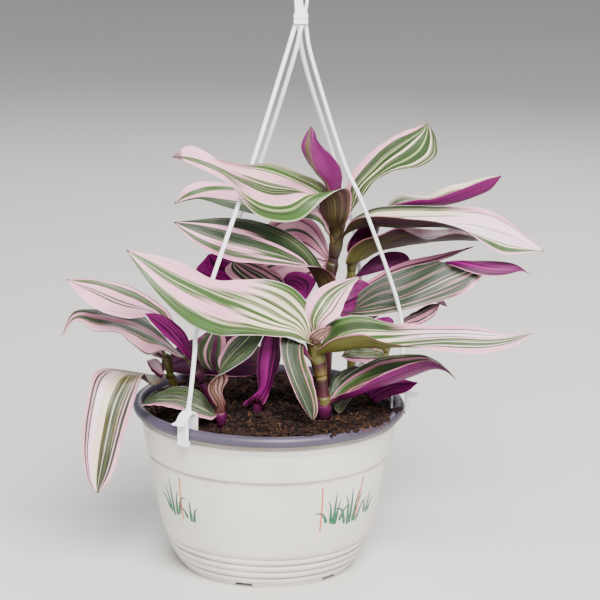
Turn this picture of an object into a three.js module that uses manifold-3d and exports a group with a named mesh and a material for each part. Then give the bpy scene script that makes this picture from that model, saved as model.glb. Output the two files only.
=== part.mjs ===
// Potted tradescantia: striped leaves on short stems in a plastic hanging pot, with its clip-on hanger.
// Millimetres, +Z up. The origin is on the floor under the middle of the pot, and -Y is the front.

import * as THREE from "three";
import { mergeVertices } from "three/addons/utils/BufferGeometryUtils.js";
import Module from "manifold-3d";

const wasm = await Module();
wasm.setup();

// ---------- driving dimensions ----------

const GAP = 0.3; // clearance between neighbours that touch

const RIM_RADIUS = 90; // outside of the rolled rim
const RIM_BEAD = 3.6; // radius of the roll's section
const RIM_HEIGHT = 107.5; // middle of the roll
const COLLAR_RADIUS = 84.5; // just under the rim
const COLLAR_TAPER = 3.6; // how much narrower the collar is at its foot
const COLLAR_FOOT = 78; // the collar ends here in a small step
const STEP_DEPTH = 0.9;
const SOFT_BEAD = 0.8; // low bead that runs round under the rim
const BELLY_RADIUS = 68.5; // where the ribs begin
const BELLY_SHOULDER = 3; // the wall swells by this over the ribs
const RIB_TOP = 22.5;
const RIB_COUNT = 4;
const RIB_SWELL = 1.1;
const BASE_RADIUS = 57.5;
const FOOT_HEIGHT = 2.5;
const FOOT_WIDTH = 4;
const WALL = 1.8;
const RIM_WALL = 5.2; // wall and collar together, where the collar is widest
const FLOOR_TOP = 4.6; // upper side of the pot's bottom
const PAD_RADIUS = 16; // flat moulded pad under the middle of the bottom
const POT_SEGMENTS = 40;
const NOTCH_WIDTH = 12;
const NOTCH_COUNT = 6;
const DRAIN_RADIUS = 4;
const DRAIN_CIRCLE = 34;
const DRAIN_COUNT = 6;

const SOIL_EDGE = 106.5; // soil level at the wall
const SOIL_CROWN = 112; // soil level in the middle
const SOIL_SEGMENTS = 28;
const ROOT_DEPTH = 96; // stems go down to this level

const STEM_SIDES = 8;
const LEAF_THICKNESS = 0.9;
const LEAF_NECK = 1.2; // half width of a leaf where it leaves the stem
const LEAF_BELLY = 0.42; // a leaf is usually widest at this share of its length
const LEAF_ROWS = 10;
const LEAF_COLUMNS = 4;

const STRAND_RADIUS = 1.5;
const STRAND_SIDES = 8;
const STRAND_STEPS = 16;
const CLIP_WIDTH = 8.6;
const CLIP_WALL = 1.5;
const CLIP_CROWN = 121; // underside of the clip's arch
const CATCH_DEPTH = 2; // the catch reaches this far in under the rim
const CATCH_HEIGHT = 3;
const LIP_REACH = 7; // the thumb lip stands out this far from the outer leg
const HUB = { x: 17.2, y: 0.5, z: 359 }; // middle of the hub's lower face
const HUB_BLOCK = { wide: 9, deep: 10, high: 6.5 };
const LOOP_RISE = 36; // middle of the loop's round end over the hub's lower face
const LOOP_RADIUS = 8.5;
const LOOP_DEPTH = 4;
const EYE_RADIUS = 5;

// ---------- materials ----------

function finish(color, roughness) {
  return new THREE.MeshStandardMaterial({ color, roughness, metalness: 0 });
}

const FINISHES = {
  pot: finish(0xe2e0db, 0.45),
  hanger: finish(0xf1f1f2, 0.35),
  soil: finish(0x3a261e, 1),
  stem: finish(0x6f4a3c, 0.5),
  green_stem: finish(0x7d783c, 0.5),
  pink: finish(0xe8c4d4, 0.45),
  cream: finish(0xd9cfc4, 0.45),
  green: finish(0x7da05f, 0.45),
  dark_green: finish(0x4f6b48, 0.45),
  grey_green: finish(0x6e7d69, 0.45),
  magenta: finish(0xa0238c, 0.4),
  olive: finish(0x5f552d, 0.45),
};

// ---------- solids ----------

const part = new THREE.Group();

function addPiece(name, geometry, material) {
  const piece = new THREE.Mesh(geometry, material);
  piece.name = name;
  part.add(piece);
  return piece;
}

// A closed manifold solid from a geometry, for cutting and joining.
function solidOf(geometry) {
  const bare = geometry.clone();
  bare.deleteAttribute("normal");
  bare.deleteAttribute("uv");
  const merged = mergeVertices(bare, 1e-4);
  const corners = merged.index.array;
  const triangles = [];
  for (let i = 0; i < corners.length; i += 3) {
    const [a, b, c] = [corners[i], corners[i + 1], corners[i + 2]];
    if (a !== b && b !== c && a !== c) triangles.push(a, b, c);
  }
  return new wasm.Manifold(new wasm.Mesh({
    numProp: 3,
    vertProperties: new Float32Array(merged.attributes.position.array),
    triVerts: new Uint32Array(triangles),
  }));
}

function geometryOf(solid) {
  const mesh = solid.getMesh();
  const geometry = new THREE.BufferGeometry();
  geometry.setAttribute("position", new THREE.BufferAttribute(mesh.vertProperties, 3));
  geometry.setIndex(new THREE.BufferAttribute(mesh.triVerts, 1));
  return geometry;
}

// A body of revolution about Z. The profile is a list of [radius, height] that goes round the solid.
function turned(profile, segments) {
  const points = profile.map(([radius, height]) => new THREE.Vector2(radius, height));
  return new THREE.LatheGeometry(points, segments).rotateX(Math.PI / 2);
}

function arc(centreRadius, centreHeight, radius, fromDegrees, toDegrees, steps) {
  const points = [];
  for (let i = 0; i <= steps; i += 1) {
    const angle = THREE.MathUtils.degToRad(fromDegrees + ((toDegrees - fromDegrees) * i) / steps);
    points.push([centreRadius + radius * Math.cos(angle), centreHeight + radius * Math.sin(angle)]);
  }
  return points;
}

// A tube of even thickness with closed ends along a smooth curve through the points.
function tube(points, radius, sides, steps) {
  const section = new THREE.Shape();
  for (let i = 0; i < sides; i += 1) {
    const angle = (2 * Math.PI * i) / sides;
    const [x, y] = [radius * Math.cos(angle), radius * Math.sin(angle)];
    if (i === 0) section.moveTo(x, y);
    else section.lineTo(x, y);
  }
  section.closePath();
  const curve = new THREE.CatmullRomCurve3(points.map((p) => new THREE.Vector3(...p)));
  return new THREE.ExtrudeGeometry(section, { steps, bevelEnabled: false, extrudePath: curve });
}

// ---------- pot ----------

// The wall between the foot and the belly leans out and swells into rounded ribs.
function ribbedWall() {
  const outline = [];
  const pitch = (RIB_TOP - FOOT_HEIGHT) / RIB_COUNT;
  const lean = (BELLY_RADIUS - BASE_RADIUS) / (RIB_TOP - FOOT_HEIGHT);
  for (let i = 0; i < RIB_COUNT; i += 1) {
    const groove = FOOT_HEIGHT + i * pitch;
    const crest = groove + 0.45 * pitch;
    outline.push([BASE_RADIUS + lean * (groove - FOOT_HEIGHT), groove]);
    outline.push([BASE_RADIUS + lean * (crest - FOOT_HEIGHT) + RIB_SWELL, crest]);
  }
  return outline;
}

// The inside of the wall from the rim down to the bottom, as [radius, height].
function potInside() {
  return [
    [RIM_RADIUS - 2 * RIM_BEAD + 0.2, RIM_HEIGHT - 1],
    [COLLAR_RADIUS - RIM_WALL / 2, RIM_HEIGHT - RIM_BEAD - 2.4],
    [COLLAR_RADIUS - RIM_WALL, COLLAR_FOOT],
    [BELLY_RADIUS - WALL + 1.2, RIB_TOP + 2],
    [BASE_RADIUS - WALL - 0.6, FLOOR_TOP],
  ];
}

function makePot() {
  const beadTop = RIM_HEIGHT - RIM_BEAD - 0.6;
  const profile = [
    [0, 0],
    [PAD_RADIUS, 0],
    [PAD_RADIUS + 1, FOOT_HEIGHT],
    [BASE_RADIUS - FOOT_WIDTH - 0.5, FOOT_HEIGHT],
    [BASE_RADIUS - FOOT_WIDTH, 0],
    [BASE_RADIUS - 0.8, 0],
    ...ribbedWall(),
    [BELLY_RADIUS, RIB_TOP],
    [BELLY_RADIUS + BELLY_SHOULDER, RIB_TOP + 8],
    [COLLAR_RADIUS - COLLAR_TAPER - STEP_DEPTH, COLLAR_FOOT - 0.4],
    [COLLAR_RADIUS - COLLAR_TAPER, COLLAR_FOOT + 0.4],
    [COLLAR_RADIUS - 0.4, beadTop - 5.3],
    [COLLAR_RADIUS + SOFT_BEAD, beadTop - 3.3],
    [COLLAR_RADIUS + SOFT_BEAD, beadTop],
    ...arc(RIM_RADIUS - RIM_BEAD, RIM_HEIGHT, RIM_BEAD, -85, 175, 8),
    ...potInside(),
    [0, FLOOR_TOP],
  ];
  let pot = solidOf(turned(profile, POT_SEGMENTS));
  for (let i = 0; i < NOTCH_COUNT; i += 1) {
    const notch = new THREE.BoxGeometry(3 * FOOT_WIDTH, NOTCH_WIDTH, 2 * (FOOT_HEIGHT - 0.4));
    notch.translate(BASE_RADIUS - FOOT_WIDTH / 2, 0, 0);
    notch.rotateZ((2 * Math.PI * (i + 0.25)) / NOTCH_COUNT);
    pot = pot.subtract(solidOf(notch));
  }
  for (let i = 0; i < DRAIN_COUNT; i += 1) {
    const drain = new THREE.CylinderGeometry(DRAIN_RADIUS, DRAIN_RADIUS, 3 * FLOOR_TOP, 12);
    drain.rotateX(Math.PI / 2).translate(DRAIN_CIRCLE, 0, 0);
    drain.rotateZ((2 * Math.PI * i) / DRAIN_COUNT);
    pot = pot.subtract(solidOf(drain));
  }
  addPiece("pot", geometryOf(pot), FINISHES.pot);
}

// ---------- stems ----------

// Each stem rises out of the soil from the root through these points.
const STEMS = {
  stem_tall: {
    radius: 3.8, finish: "stem", root: [38, 22],
    through: [[38, 22, 112], [39, 20, 150], [39, 19, 182], [43, 19, 212], [45, 18, 228]],
  },
  stem_tall_right: {
    radius: 3.4, finish: "green_stem", root: [56, 38],
    through: [[56, 38, 112], [55, 36, 150], [54, 34, 182], [55, 33, 208]],
  },
  stem_right: {
    radius: 3.2, finish: "green_stem", root: [70, 10],
    through: [[70, 10, 112], [75, 8, 132], [79, 8, 157]],
  },
  stem_front: {
    radius: 4.2, finish: "stem", root: [36, -42],
    through: [[36, -42, 112], [33, -41, 140], [28, -41, 160]],
  },
  stem_left: {
    radius: 3, finish: "stem", root: [-36, -24],
    through: [[-36, -24, 112], [-44, -25, 130], [-52, -25, 148]],
  },
  stem_left_short: {
    radius: 2.6, finish: "green_stem", root: [-60, -6],
    through: [[-60, -6, 112], [-65, -10, 130], [-68, -12, 144]],
  },
  stem_low_front: {
    radius: 3.2, finish: "stem", root: [-30, -55],
    through: [[-30, -55, 108], [-31, -55, 118]],
  },
  stem_rear: {
    radius: 3.4, finish: "stem", root: [-4, 34],
    through: [[-4, 34, 112], [0, 31, 146], [2, 28, 176]],
  },
  stem_middle: {
    radius: 2.8, finish: "stem", root: [-8, -32],
    through: [[-8, -32, 108], [-7, -32, 117]],
  },
};

function stemPoints(stem, depth) {
  return [[...stem.root, depth], ...stem.through];
}

function stemCurve(stem) {
  return new THREE.CatmullRomCurve3(stemPoints(stem, ROOT_DEPTH).map((p) => new THREE.Vector3(...p)));
}

function makeStems() {
  for (const [name, stem] of Object.entries(STEMS)) {
    const height = stem.through.at(-1)[2] - ROOT_DEPTH;
    const steps = Math.max(3, Math.round(height / 10));
    const points = stemPoints(stem, ROOT_DEPTH);
    addPiece(name, tube(points, stem.radius, STEM_SIDES, steps), FINISHES[stem.finish]);
  }
}

// ---------- soil ----------

// A low heap with a few broad lumps, level with the rim at the wall.
function soilLevel(x, y) {
  const edge = Math.min(1, Math.hypot(x, y) / (RIM_RADIUS - 2 * RIM_BEAD));
  const heap = SOIL_EDGE + (SOIL_CROWN - SOIL_EDGE) * (1 - edge * edge);
  const lumps = Math.sin(x * 0.11 + 1) * Math.sin(y * 0.13) + 0.6 * Math.sin(x * 0.23 - y * 0.19);
  return heap + 0.7 * lumps * (1 - edge ** 4);
}

function makeSoil() {
  const wall = potInside().map(([radius, height]) => [radius - 1.5 * GAP, height]).reverse();
  const topRadius = wall.at(-2)[0];
  const profile = [[0, FLOOR_TOP + GAP], [wall[0][0], FLOOR_TOP + GAP], wall[1], wall[2]];
  profile.push([topRadius, SOIL_EDGE - 5]);
  for (const share of [1, 0.8, 0.6, 0.4, 0.2, 0]) profile.push([topRadius * share, SOIL_EDGE]);
  const geometry = turned(profile, SOIL_SEGMENTS);
  const position = geometry.attributes.position;
  for (let i = 0; i < position.count; i += 1) {
    const [x, y, z] = [position.getX(i), position.getY(i), position.getZ(i)];
    if (z >= SOIL_EDGE - 0.01) position.setZ(i, soilLevel(x, y));
  }
  let soil = solidOf(geometry);
  for (const stem of Object.values(STEMS)) {
    const socket = tube(stemPoints(stem, ROOT_DEPTH - GAP), stem.radius + 2 * GAP, STEM_SIDES, 16);
    soil = soil.subtract(solidOf(socket));
  }
  addPiece("soil", geometryOf(soil), FINISHES.soil);
}

// ---------- leaves ----------

// Where a leaf's upper side looks.
const UP = [0, 0, 1];
const FRONT_UP = [0, -0.6, 0.8];
const FRONT = [0, -1, 0.1];
const BACK_UP = [0, 0.4, 0.9];
const BACK = [0, 0.9, 0.4]; // the underside shows at the front

// Each leaf leaves its stem at a share of the stem's length, and its middle line goes through the
// points listed to its tip. width is the blade's full width, and face lists where its upper side looks
// on the way. cup is how far each half of the blade curls up, in degrees, at the base and at the tip.
// belly is where along the leaf it is widest, and wave is how far its margins ripple.
const LEAVES = {
  // from the tall stem
  leaf_top_left: {
    stem: "stem_tall", at: 0.94, width: 42, cup: [60, 12], wave: 4, finish: "pink",
    through: [[40, 4, 246], [22, -26, 255], [-14, -48, 254]], tip: [-64, -46, 280],
    face: [[0, 1, 0.1], [0, -0.5, 0.8], FRONT_UP, FRONT_UP],
  },
  leaf_upper_left: {
    stem: "stem_tall", at: 0.88, width: 26, cup: [60, 20], wave: 2, finish: "pink",
    through: [[-12, 14, 243]], tip: [-65, 12, 239], face: [FRONT_UP, FRONT_UP],
  },
  leaf_dark_left: {
    stem: "stem_tall", at: 0.6, width: 34, cup: [60, 10], wave: 1, finish: "dark_green",
    through: [[-12, -22, 222]], tip: [-63, -28, 236], face: [[0, -0.7, 0.7], [0, -0.8, 0.6]],
  },
  leaf_bud: {
    stem: "stem_tall", at: 1, width: 30, cup: [40, 50], wave: 0, finish: "magenta",
    through: [[37, 15, 266]], tip: [25, 12, 292], face: [[0, 1, 0], [0.2, 1, 0]],
  },
  leaf_top_right: {
    stem: "stem_tall", at: 0.99, width: 32, belly: 0.62, cup: [70, 15], wave: 1, finish: "pink",
    through: [[80, 32, 263]], tip: [104, 38, 291], face: [[-0.7, -0.5, 0.4], [-0.3, -0.8, 0.5], FRONT],
  },
  leaf_right_arch: {
    stem: "stem_tall", at: 0.88, width: 40, belly: 0.62, cup: [50, 12], wave: 1, finish: "cream",
    through: [[62, 20, 234], [88, 20, 240], [120, 18, 239], [152, 15, 228]], tip: [181, 12, 211],
    face: [BACK_UP, UP, [0, -0.3, 1], [0, -0.7, 0.7]],
  },
  leaf_backlit: {
    stem: "stem_tall", at: 0.78, width: 34, cup: [50, 10], wave: 0, finish: "pink",
    through: [[20, 36, 200]], tip: [-8, 40, 180], face: [[-0.4, 0.9, 0.2], [-0.4, 0.9, 0.4]],
  },
  leaf_magenta_inner: {
    stem: "stem_tall", at: 0.55, width: 24, belly: 0.5, cup: [50, 20], wave: 0, finish: "magenta",
    through: [[57, 8, 178]], tip: [66, 4, 192], face: [[0.2, 0.9, 0.3], [0.2, 0.9, 0.2]],
  },

  // from the tall stem on the right
  leaf_right_high: {
    stem: "stem_tall_right", at: 0.99, width: 28, cup: [70, 40], wave: 2, finish: "magenta",
    through: [[85, 46, 235], [120, 52, 241]], tip: [156, 55, 252], face: [BACK_UP, BACK_UP, [0, 0.8, 0.5]],
  },
  leaf_olive_right: {
    stem: "stem_tall_right", at: 0.93, width: 34, cup: [60, 20], wave: 4, finish: "olive",
    through: [[74, 26, 214], [100, 26, 218]], tip: [143, 24, 211], face: [BACK_UP, BACK_UP, BACK_UP],
  },
  leaf_magenta_right: {
    stem: "stem_tall_right", at: 0.8, width: 22, belly: 0.5, cup: [50, 20], wave: 0, finish: "magenta",
    through: [[78, 50, 195]], tip: [102, 56, 202], face: [BACK, BACK],
  },
  leaf_thin_right: {
    stem: "stem_tall_right", at: 0.72, width: 8, belly: 0.5, cup: [40, 20], wave: 0, finish: "pink",
    through: [[88, 42, 191], [114, 40, 199]], tip: [137, 38, 208], face: [FRONT_UP, FRONT_UP],
  },
  leaf_grey_right: {
    stem: "stem_tall_right", at: 0.62, width: 41, belly: 0.4, cup: [60, 20], wave: 0, finish: "grey_green",
    through: [[96, 18, 186], [136, 14, 199]], tip: [173, 10, 197],
    face: [[0, -0.8, 0.5], [-0.1, -0.8, 0.6], FRONT_UP, [0, 0.9, 0.5]],
  },
  leaf_back_right: {
    stem: "stem_tall_right", at: 0.46, width: 31, cup: [55, 18], wave: 1, finish: "pink",
    through: [[92, 70, 168]], tip: [126, 104, 150], face: [UP, BACK_UP],
  },

  // from the low stem on the right
  leaf_under_grey: {
    stem: "stem_right", at: 0.9, width: 18, belly: 0.5, cup: [50, 20], wave: 0, finish: "grey_green",
    through: [[98, 19, 165]], tip: [114, 19, 177], face: [[-0.5, -0.7, 0.5], [-0.5, -0.7, 0.5]],
  },
  leaf_magenta_small: {
    stem: "stem_right", at: 1, width: 10, belly: 0.5, cup: [50, 20], wave: 0, finish: "magenta",
    through: [[76, -5, 165]], tip: [68, -10, 168], face: [BACK, BACK],
  },
  leaf_pink_right: {
    stem: "stem_right", at: 0.7, width: 18, belly: 0.55, cup: [50, 20], wave: 0, finish: "pink",
    through: [[60, 0, 147]], tip: [46, -4, 141], face: [FRONT_UP, FRONT_UP],
  },
  leaf_low_magenta: {
    stem: "stem_right", at: 0.3, width: 20, cup: [60, 30], wave: 0, finish: "magenta",
    through: [[74, -8, 121], [84, -18, 127]], tip: [100, -24, 131], face: [[0, 0.6, 0.8], [0, 0.6, 0.8]],
  },

  // from the front stem
  leaf_front_left: {
    stem: "stem_front", at: 0.97, width: 43, belly: 0.48, cup: [50, 12], wave: 3, finish: "pink",
    through: [[-4, -70, 182], [-38, -78, 189]], tip: [-89, -76, 227],
    face: [[0, -0.5, 0.8], [0, -0.75, 0.65], [-0.1, -0.8, 0.6]],
  },
  leaf_front_right: {
    stem: "stem_front", at: 0.95, width: 32, cup: [65, 10], wave: 1, finish: "pink",
    through: [[60, -56, 173], [97, -62, 172]], tip: [166, -56, 170], face: [UP, [0, -0.3, 1], [0, -0.4, 0.9]],
  },
  leaf_upright_small: {
    stem: "stem_front", at: 1, width: 24, belly: 0.5, cup: [40, 20], wave: 0, finish: "pink",
    through: [[35, -32, 184]], tip: [55, -28, 201], face: [[0.2, -1, 0.1], [0, -1, 0.3]],
  },
  leaf_small_bud: {
    stem: "stem_front", at: 1, width: 12, belly: 0.5, cup: [60, 40], wave: 0, finish: "magenta",
    through: [[34, -51, 171]], tip: [40, -53, 178], face: [BACK, BACK],
  },
  leaf_hanging_front: {
    stem: "stem_front", at: 0.8, width: 20, belly: 0.5, cup: [40, 20], wave: 0, finish: "green",
    through: [[19, -53, 150], [16, -55, 141]], tip: [24, -59, 116], face: [[-0.4, -0.7, 0.5], FRONT, FRONT],
  },
  leaf_low_right: {
    stem: "stem_front", at: 0.36, width: 28, cup: [60, 40], wave: 0, finish: "olive",
    through: [[74, -40, 144]], tip: [118, -36, 136], face: [[0, -0.3, 1], [0, -0.3, 1]],
  },
  leaf_low_dark: {
    stem: "stem_front", at: 0.44, width: 18, belly: 0.5, cup: [50, 20], wave: 0, finish: "grey_green",
    through: [[50, -24, 139]], tip: [62, -18, 143], face: [[0.2, 0.9, 0.4], [0.2, 0.9, 0.4]],
  },

  // from the stems on the left
  leaf_left_high: {
    stem: "stem_left", at: 0.98, width: 29, cup: [50, 14], wave: 0.5, finish: "pink",
    through: [[-66, -33, 170], [-94, -36, 180]], tip: [-131, -34, 196],
    face: [FRONT_UP, [0.1, -0.85, 0.5], [0.1, -0.85, 0.5]],
  },
  leaf_left_middle: {
    stem: "stem_left", at: 0.9, width: 26, belly: 0.6, cup: [25, 15], wave: 2, finish: "pink",
    through: [[-84, -27, 152], [-113, -28, 168]], tip: [-133, -32, 162], face: [FRONT_UP, [0, -0.8, 0.6]],
  },
  leaf_left_folded: {
    stem: "stem_left", at: 0.86, width: 12, belly: 0.5, cup: [60, 50], wave: 0, finish: "magenta",
    through: [[-64, -47, 160]], tip: [-80, -51, 171], face: [BACK, BACK],
  },
  leaf_striped_behind: {
    stem: "stem_left", at: 0.78, width: 24, belly: 0.5, cup: [50, 10], wave: 0, finish: "dark_green",
    through: [[-36, -10, 147]], tip: [-20, -8, 163], face: [FRONT, FRONT],
  },
  leaf_left_behind: {
    stem: "stem_left_short", at: 0.92, width: 20, belly: 0.6, cup: [30, 15], wave: 0, finish: "green",
    through: [[-92, 0, 162]], tip: [-117, 0, 177], face: [FRONT_UP, [0, -0.8, 0.6]],
  },
  leaf_drooping: {
    stem: "stem_left_short", at: 0.66, width: 40, belly: 0.5, cup: [55, 5], wave: 0, finish: "pink",
    through: [[-82, -28, 134], [-98, -42, 131], [-106, -52, 107]], tip: [-109, -58, 64],
    face: [[0, -0.3, 1], [-0.3, -0.6, 0.7], [-0.2, -1, 0.1], [-0.2, -1, 0.1]],
  },
  leaf_left_small: {
    stem: "stem_left_short", at: 0.97, width: 11, belly: 0.5, cup: [60, 30], wave: 0, finish: "magenta",
    through: [[-74, -18, 144]], tip: [-80, -20, 150], face: [[0.4, 0.8, 0.3], [0.4, 0.8, 0.3]],
  },

  // from the short stems in front
  leaf_on_soil: {
    stem: "stem_low_front", at: 0.97, width: 26, cup: [50, 10], wave: 0, finish: "dark_green",
    through: [[-54, -50, 127]], tip: [-83, -40, 118], face: [FRONT_UP, FRONT_UP],
  },
  leaf_twisted: {
    stem: "stem_low_front", at: 1, width: 28, belly: 0.66, cup: [60, 10], wave: 0, finish: "green",
    through: [[-35, -57, 134], [-26, -58, 150]], tip: [-2, -56, 173],
    face: [[1, -0.3, 0], [0.2, -1, 0.1], [-0.4, -0.9, 0.1], [-0.3, -0.9, 0.3]],
  },
  leaf_upright_magenta: {
    stem: "stem_middle", at: 1, width: 22, belly: 0.5, cup: [60, 30], wave: 0, finish: "magenta",
    through: [[-6, -42, 140]], tip: [5, -44, 172], face: [[0.2, 1, 0.1], [0.2, 1, 0.1]],
  },

  // from the rear stem
  leaf_magenta_left: {
    stem: "stem_rear", at: 0.95, width: 28, belly: 0.6, cup: [50, 15], wave: 0, finish: "magenta",
    through: [[-34, 8, 196]], tip: [-46, 2, 206], face: [[-0.3, 0.8, 0.4], [-0.3, 0.8, 0.4]],
  },
  leaf_striped_left: {
    stem: "stem_rear", at: 0.76, width: 22, belly: 0.55, cup: [50, 10], wave: 0, finish: "dark_green",
    through: [[-17, 2, 186]], tip: [-30, -5, 204], face: [[0.3, -0.8, 0.5], [0.3, -0.8, 0.5]],
  },
  leaf_magenta_middle: {
    stem: "stem_rear", at: 0.99, width: 20, belly: 0.5, cup: [40, 15], wave: 0, finish: "magenta",
    through: [[13, 24, 188]], tip: [28, 24, 185], face: [BACK, BACK],
  },
  leaf_back_left: {
    stem: "stem_rear", at: 0.9, width: 34, cup: [60, 15], wave: 2, finish: "pink",
    through: [[-10, 62, 176]], tip: [-22, 100, 160], face: [UP, BACK_UP],
  },
  leaf_back_middle: {
    stem: "stem_rear", at: 0.7, width: 34, cup: [60, 15], wave: 1, finish: "green",
    through: [[24, 72, 160]], tip: [40, 116, 140], face: [UP, BACK_UP],
  },
  leaf_back_low: {
    stem: "stem_rear", at: 0.5, width: 32, cup: [60, 15], wave: 0, finish: "pink",
    through: [[-50, 46, 148]], tip: [-94, 58, 128], face: [UP, BACK_UP],
  },
};

// The share of the full half width at t along the leaf: a swell to the belly, then a long taper.
function leafSpread(t, belly) {
  const fall = 0.8;
  const rise = (fall * belly) / (1 - belly);
  const peak = belly ** rise * (1 - belly) ** fall;
  return (t ** rise * (1 - t) ** fall) / peak;
}

function mixed(stops, t) {
  const place = Math.min(t, 0.9999) * (stops.length - 1);
  const step = Math.floor(place);
  return stops[step].clone().lerp(stops[step + 1], place - step);
}

// The middle line starts beside the stem, on the side that the leaf grows to. The steeper the leaf, the
// further its folded neck stands off.
function leafLine(leaf) {
  const stem = STEMS[leaf.stem];
  const base = stemCurve(stem).getPoint(leaf.at);
  const growth = new THREE.Vector3(...leaf.through[0]).sub(base).normalize();
  const outward = growth.clone().setZ(0).normalize();
  base.addScaledVector(outward, stem.radius + 1.5 * GAP + LEAF_THICKNESS * Math.max(0.5, growth.z));
  const points = [...leaf.through, leaf.tip].map((p) => new THREE.Vector3(...p));
  return new THREE.CatmullRomCurve3([base, ...points], false, "catmullrom", 0.5);
}

// One cross row of the blade at t along it: over the upper side from edge to edge, and back under it.
function leafRow(leaf, line, faces, t) {
  const along = line.getTangentAt(t);
  const up = mixed(faces, t);
  up.addScaledVector(along, -up.dot(along)).normalize();
  const side = along.clone().cross(up);
  const belly = leaf.belly ?? LEAF_BELLY;
  const half = LEAF_NECK * (1 - t) ** 4 + (leaf.width / 2) * leafSpread(t, belly);
  const curl = THREE.MathUtils.degToRad(THREE.MathUtils.lerp(leaf.cup[0], leaf.cup[1], t ** 0.7));
  const radius = half / curl;
  const thickness = (LEAF_THICKNESS / 2) * (1 - 0.5 * t);
  const vertices = [];
  const place = (s, lift) => {
    const ripple = leaf.wave * s * s * Math.sin(Math.PI * t) * Math.sin(2 * Math.PI * (1.6 * t + 0.3 * s));
    const point = line.getPointAt(t);
    point.addScaledVector(side, (radius - lift) * Math.sin(curl * s));
    point.addScaledVector(up, radius - (radius - lift) * Math.cos(curl * s) + ripple);
    vertices.push(point.x, point.y, point.z);
  };
  for (let i = 0; i <= LEAF_COLUMNS; i += 1) {
    const s = (2 * i) / LEAF_COLUMNS - 1;
    place(s, thickness * (1 - s * s));
  }
  for (let i = LEAF_COLUMNS - 1; i > 0; i -= 1) {
    const s = (2 * i) / LEAF_COLUMNS - 1;
    place(s, -thickness * (1 - s * s));
  }
  return vertices;
}

// A thin closed blade whose two sides share their edges, with a flat end at the stem and a sharp tip.
// Both sides are split along the same diagonals, so that a rippled blade never crosses itself.
function leafGeometry(leaf) {
  const line = leafLine(leaf);
  const faces = leaf.face.map((f) => new THREE.Vector3(...f).normalize());
  const vertices = [];
  for (let j = 0; j < LEAF_ROWS; j += 1) vertices.push(...leafRow(leaf, line, faces, j / LEAF_ROWS));
  vertices.push(...leaf.tip);
  const row = 2 * LEAF_COLUMNS;
  const tip = LEAF_ROWS * row;
  const triangles = [];
  for (let i = 0; i < row; i += 1) {
    const next = (i + 1) % row;
    for (let j = 0; j < LEAF_ROWS - 1; j += 1) {
      const [a, b] = [j * row + i, j * row + next];
      if (i < LEAF_COLUMNS) triangles.push(a, b, b + row, a, b + row, a + row);
      else triangles.push(a, b, a + row, b, b + row, a + row);
    }
    triangles.push(tip - row + i, tip - row + next, tip);
  }
  for (let i = 0; i < LEAF_COLUMNS; i += 1) {
    const below = (row - i) % row;
    const belowNext = row - i - 1;
    if (below !== i) triangles.push(i, below, i + 1);
    if (belowNext !== i + 1) triangles.push(i + 1, below, belowNext);
  }
  const geometry = new THREE.BufferGeometry();
  geometry.setAttribute("position", new THREE.Float32BufferAttribute(vertices, 3));
  geometry.setIndex(triangles);
  return geometry;
}

function makeLeaves() {
  for (const [name, leaf] of Object.entries(LEAVES)) {
    addPiece(name, leafGeometry(leaf), FINISHES[leaf.finish]);
  }
}

// ---------- hanger ----------

// Each strand ends in a clip at this bearing on the rim, in degrees from the front towards +X. top is
// where it enters the hub, from the hub's middle.
const STRANDS = {
  strand_front_left: {
    bearing: -36, top: [-3.6, -1.5],
    through: [[-53, -73, 145], [-49, -69, 166], [-36, -53, 205], [-13, -29, 272], [7, -7, 336]],
  },
  strand_right: {
    bearing: 88, top: [3.2, 0],
    through: [[88, 3, 140], [86, 2, 168], [76, 1, 200], [58, 0, 246], [46, 0, 272], [25, 0, 336]],
  },
  strand_rear_left: {
    bearing: 207, top: [0.6, -3.4],
    through: [[-41, 79, 145], [-39, 76, 168], [-28, 60, 205], [-8, 33, 262], [12, 4, 333]],
  },
  strand_rear_right: {
    bearing: 135, top: [-1.4, 3.6],
    through: [[63, 65, 145], [62, 69, 175], [56, 66, 215], [39, 46, 272], [21, 14, 330]],
  },
};

// The clip's side view as [radius, height]: outer leg, catch under the rim, arch, inner leg, thumb lip.
function clipProfile() {
  const outer = RIM_RADIUS + GAP;
  const inner = RIM_RADIUS - 2 * RIM_BEAD - 2 * GAP;
  const middle = (outer + inner) / 2;
  const inside = (outer - inner) / 2;
  const springing = CLIP_CROWN - inside;
  const catchTop = RIM_HEIGHT - RIM_BEAD - GAP;
  const face = outer + CLIP_WALL;
  return [
    [inner - CLIP_WALL, RIM_HEIGHT - 0.5],
    [inner, RIM_HEIGHT - 0.5],
    ...arc(middle, springing, inside, 180, 0, 6),
    [outer, catchTop],
    [outer - CATCH_DEPTH, catchTop - 0.4],
    [outer - CATCH_DEPTH / 2, catchTop - CATCH_HEIGHT],
    [face, catchTop - CATCH_HEIGHT],
    [face, springing - 3],
    [face + LIP_REACH - 2, springing - 5],
    [face + LIP_REACH, springing - 4],
    [face + LIP_REACH / 2, springing - 2.5],
    [face + 0.6, springing + 2.5],
    ...arc(middle, springing, inside + CLIP_WALL, 50, 180, 5),
  ];
}

function clipSolid(bearing) {
  const outline = new THREE.Shape(clipProfile().map(([r, z]) => new THREE.Vector2(r, z)));
  const clip = new THREE.ExtrudeGeometry(outline, { depth: CLIP_WIDTH, bevelEnabled: false });
  clip.translate(0, 0, -CLIP_WIDTH / 2).rotateX(Math.PI / 2);
  return solidOf(clip.rotateZ(THREE.MathUtils.degToRad(bearing - 90)));
}

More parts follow.
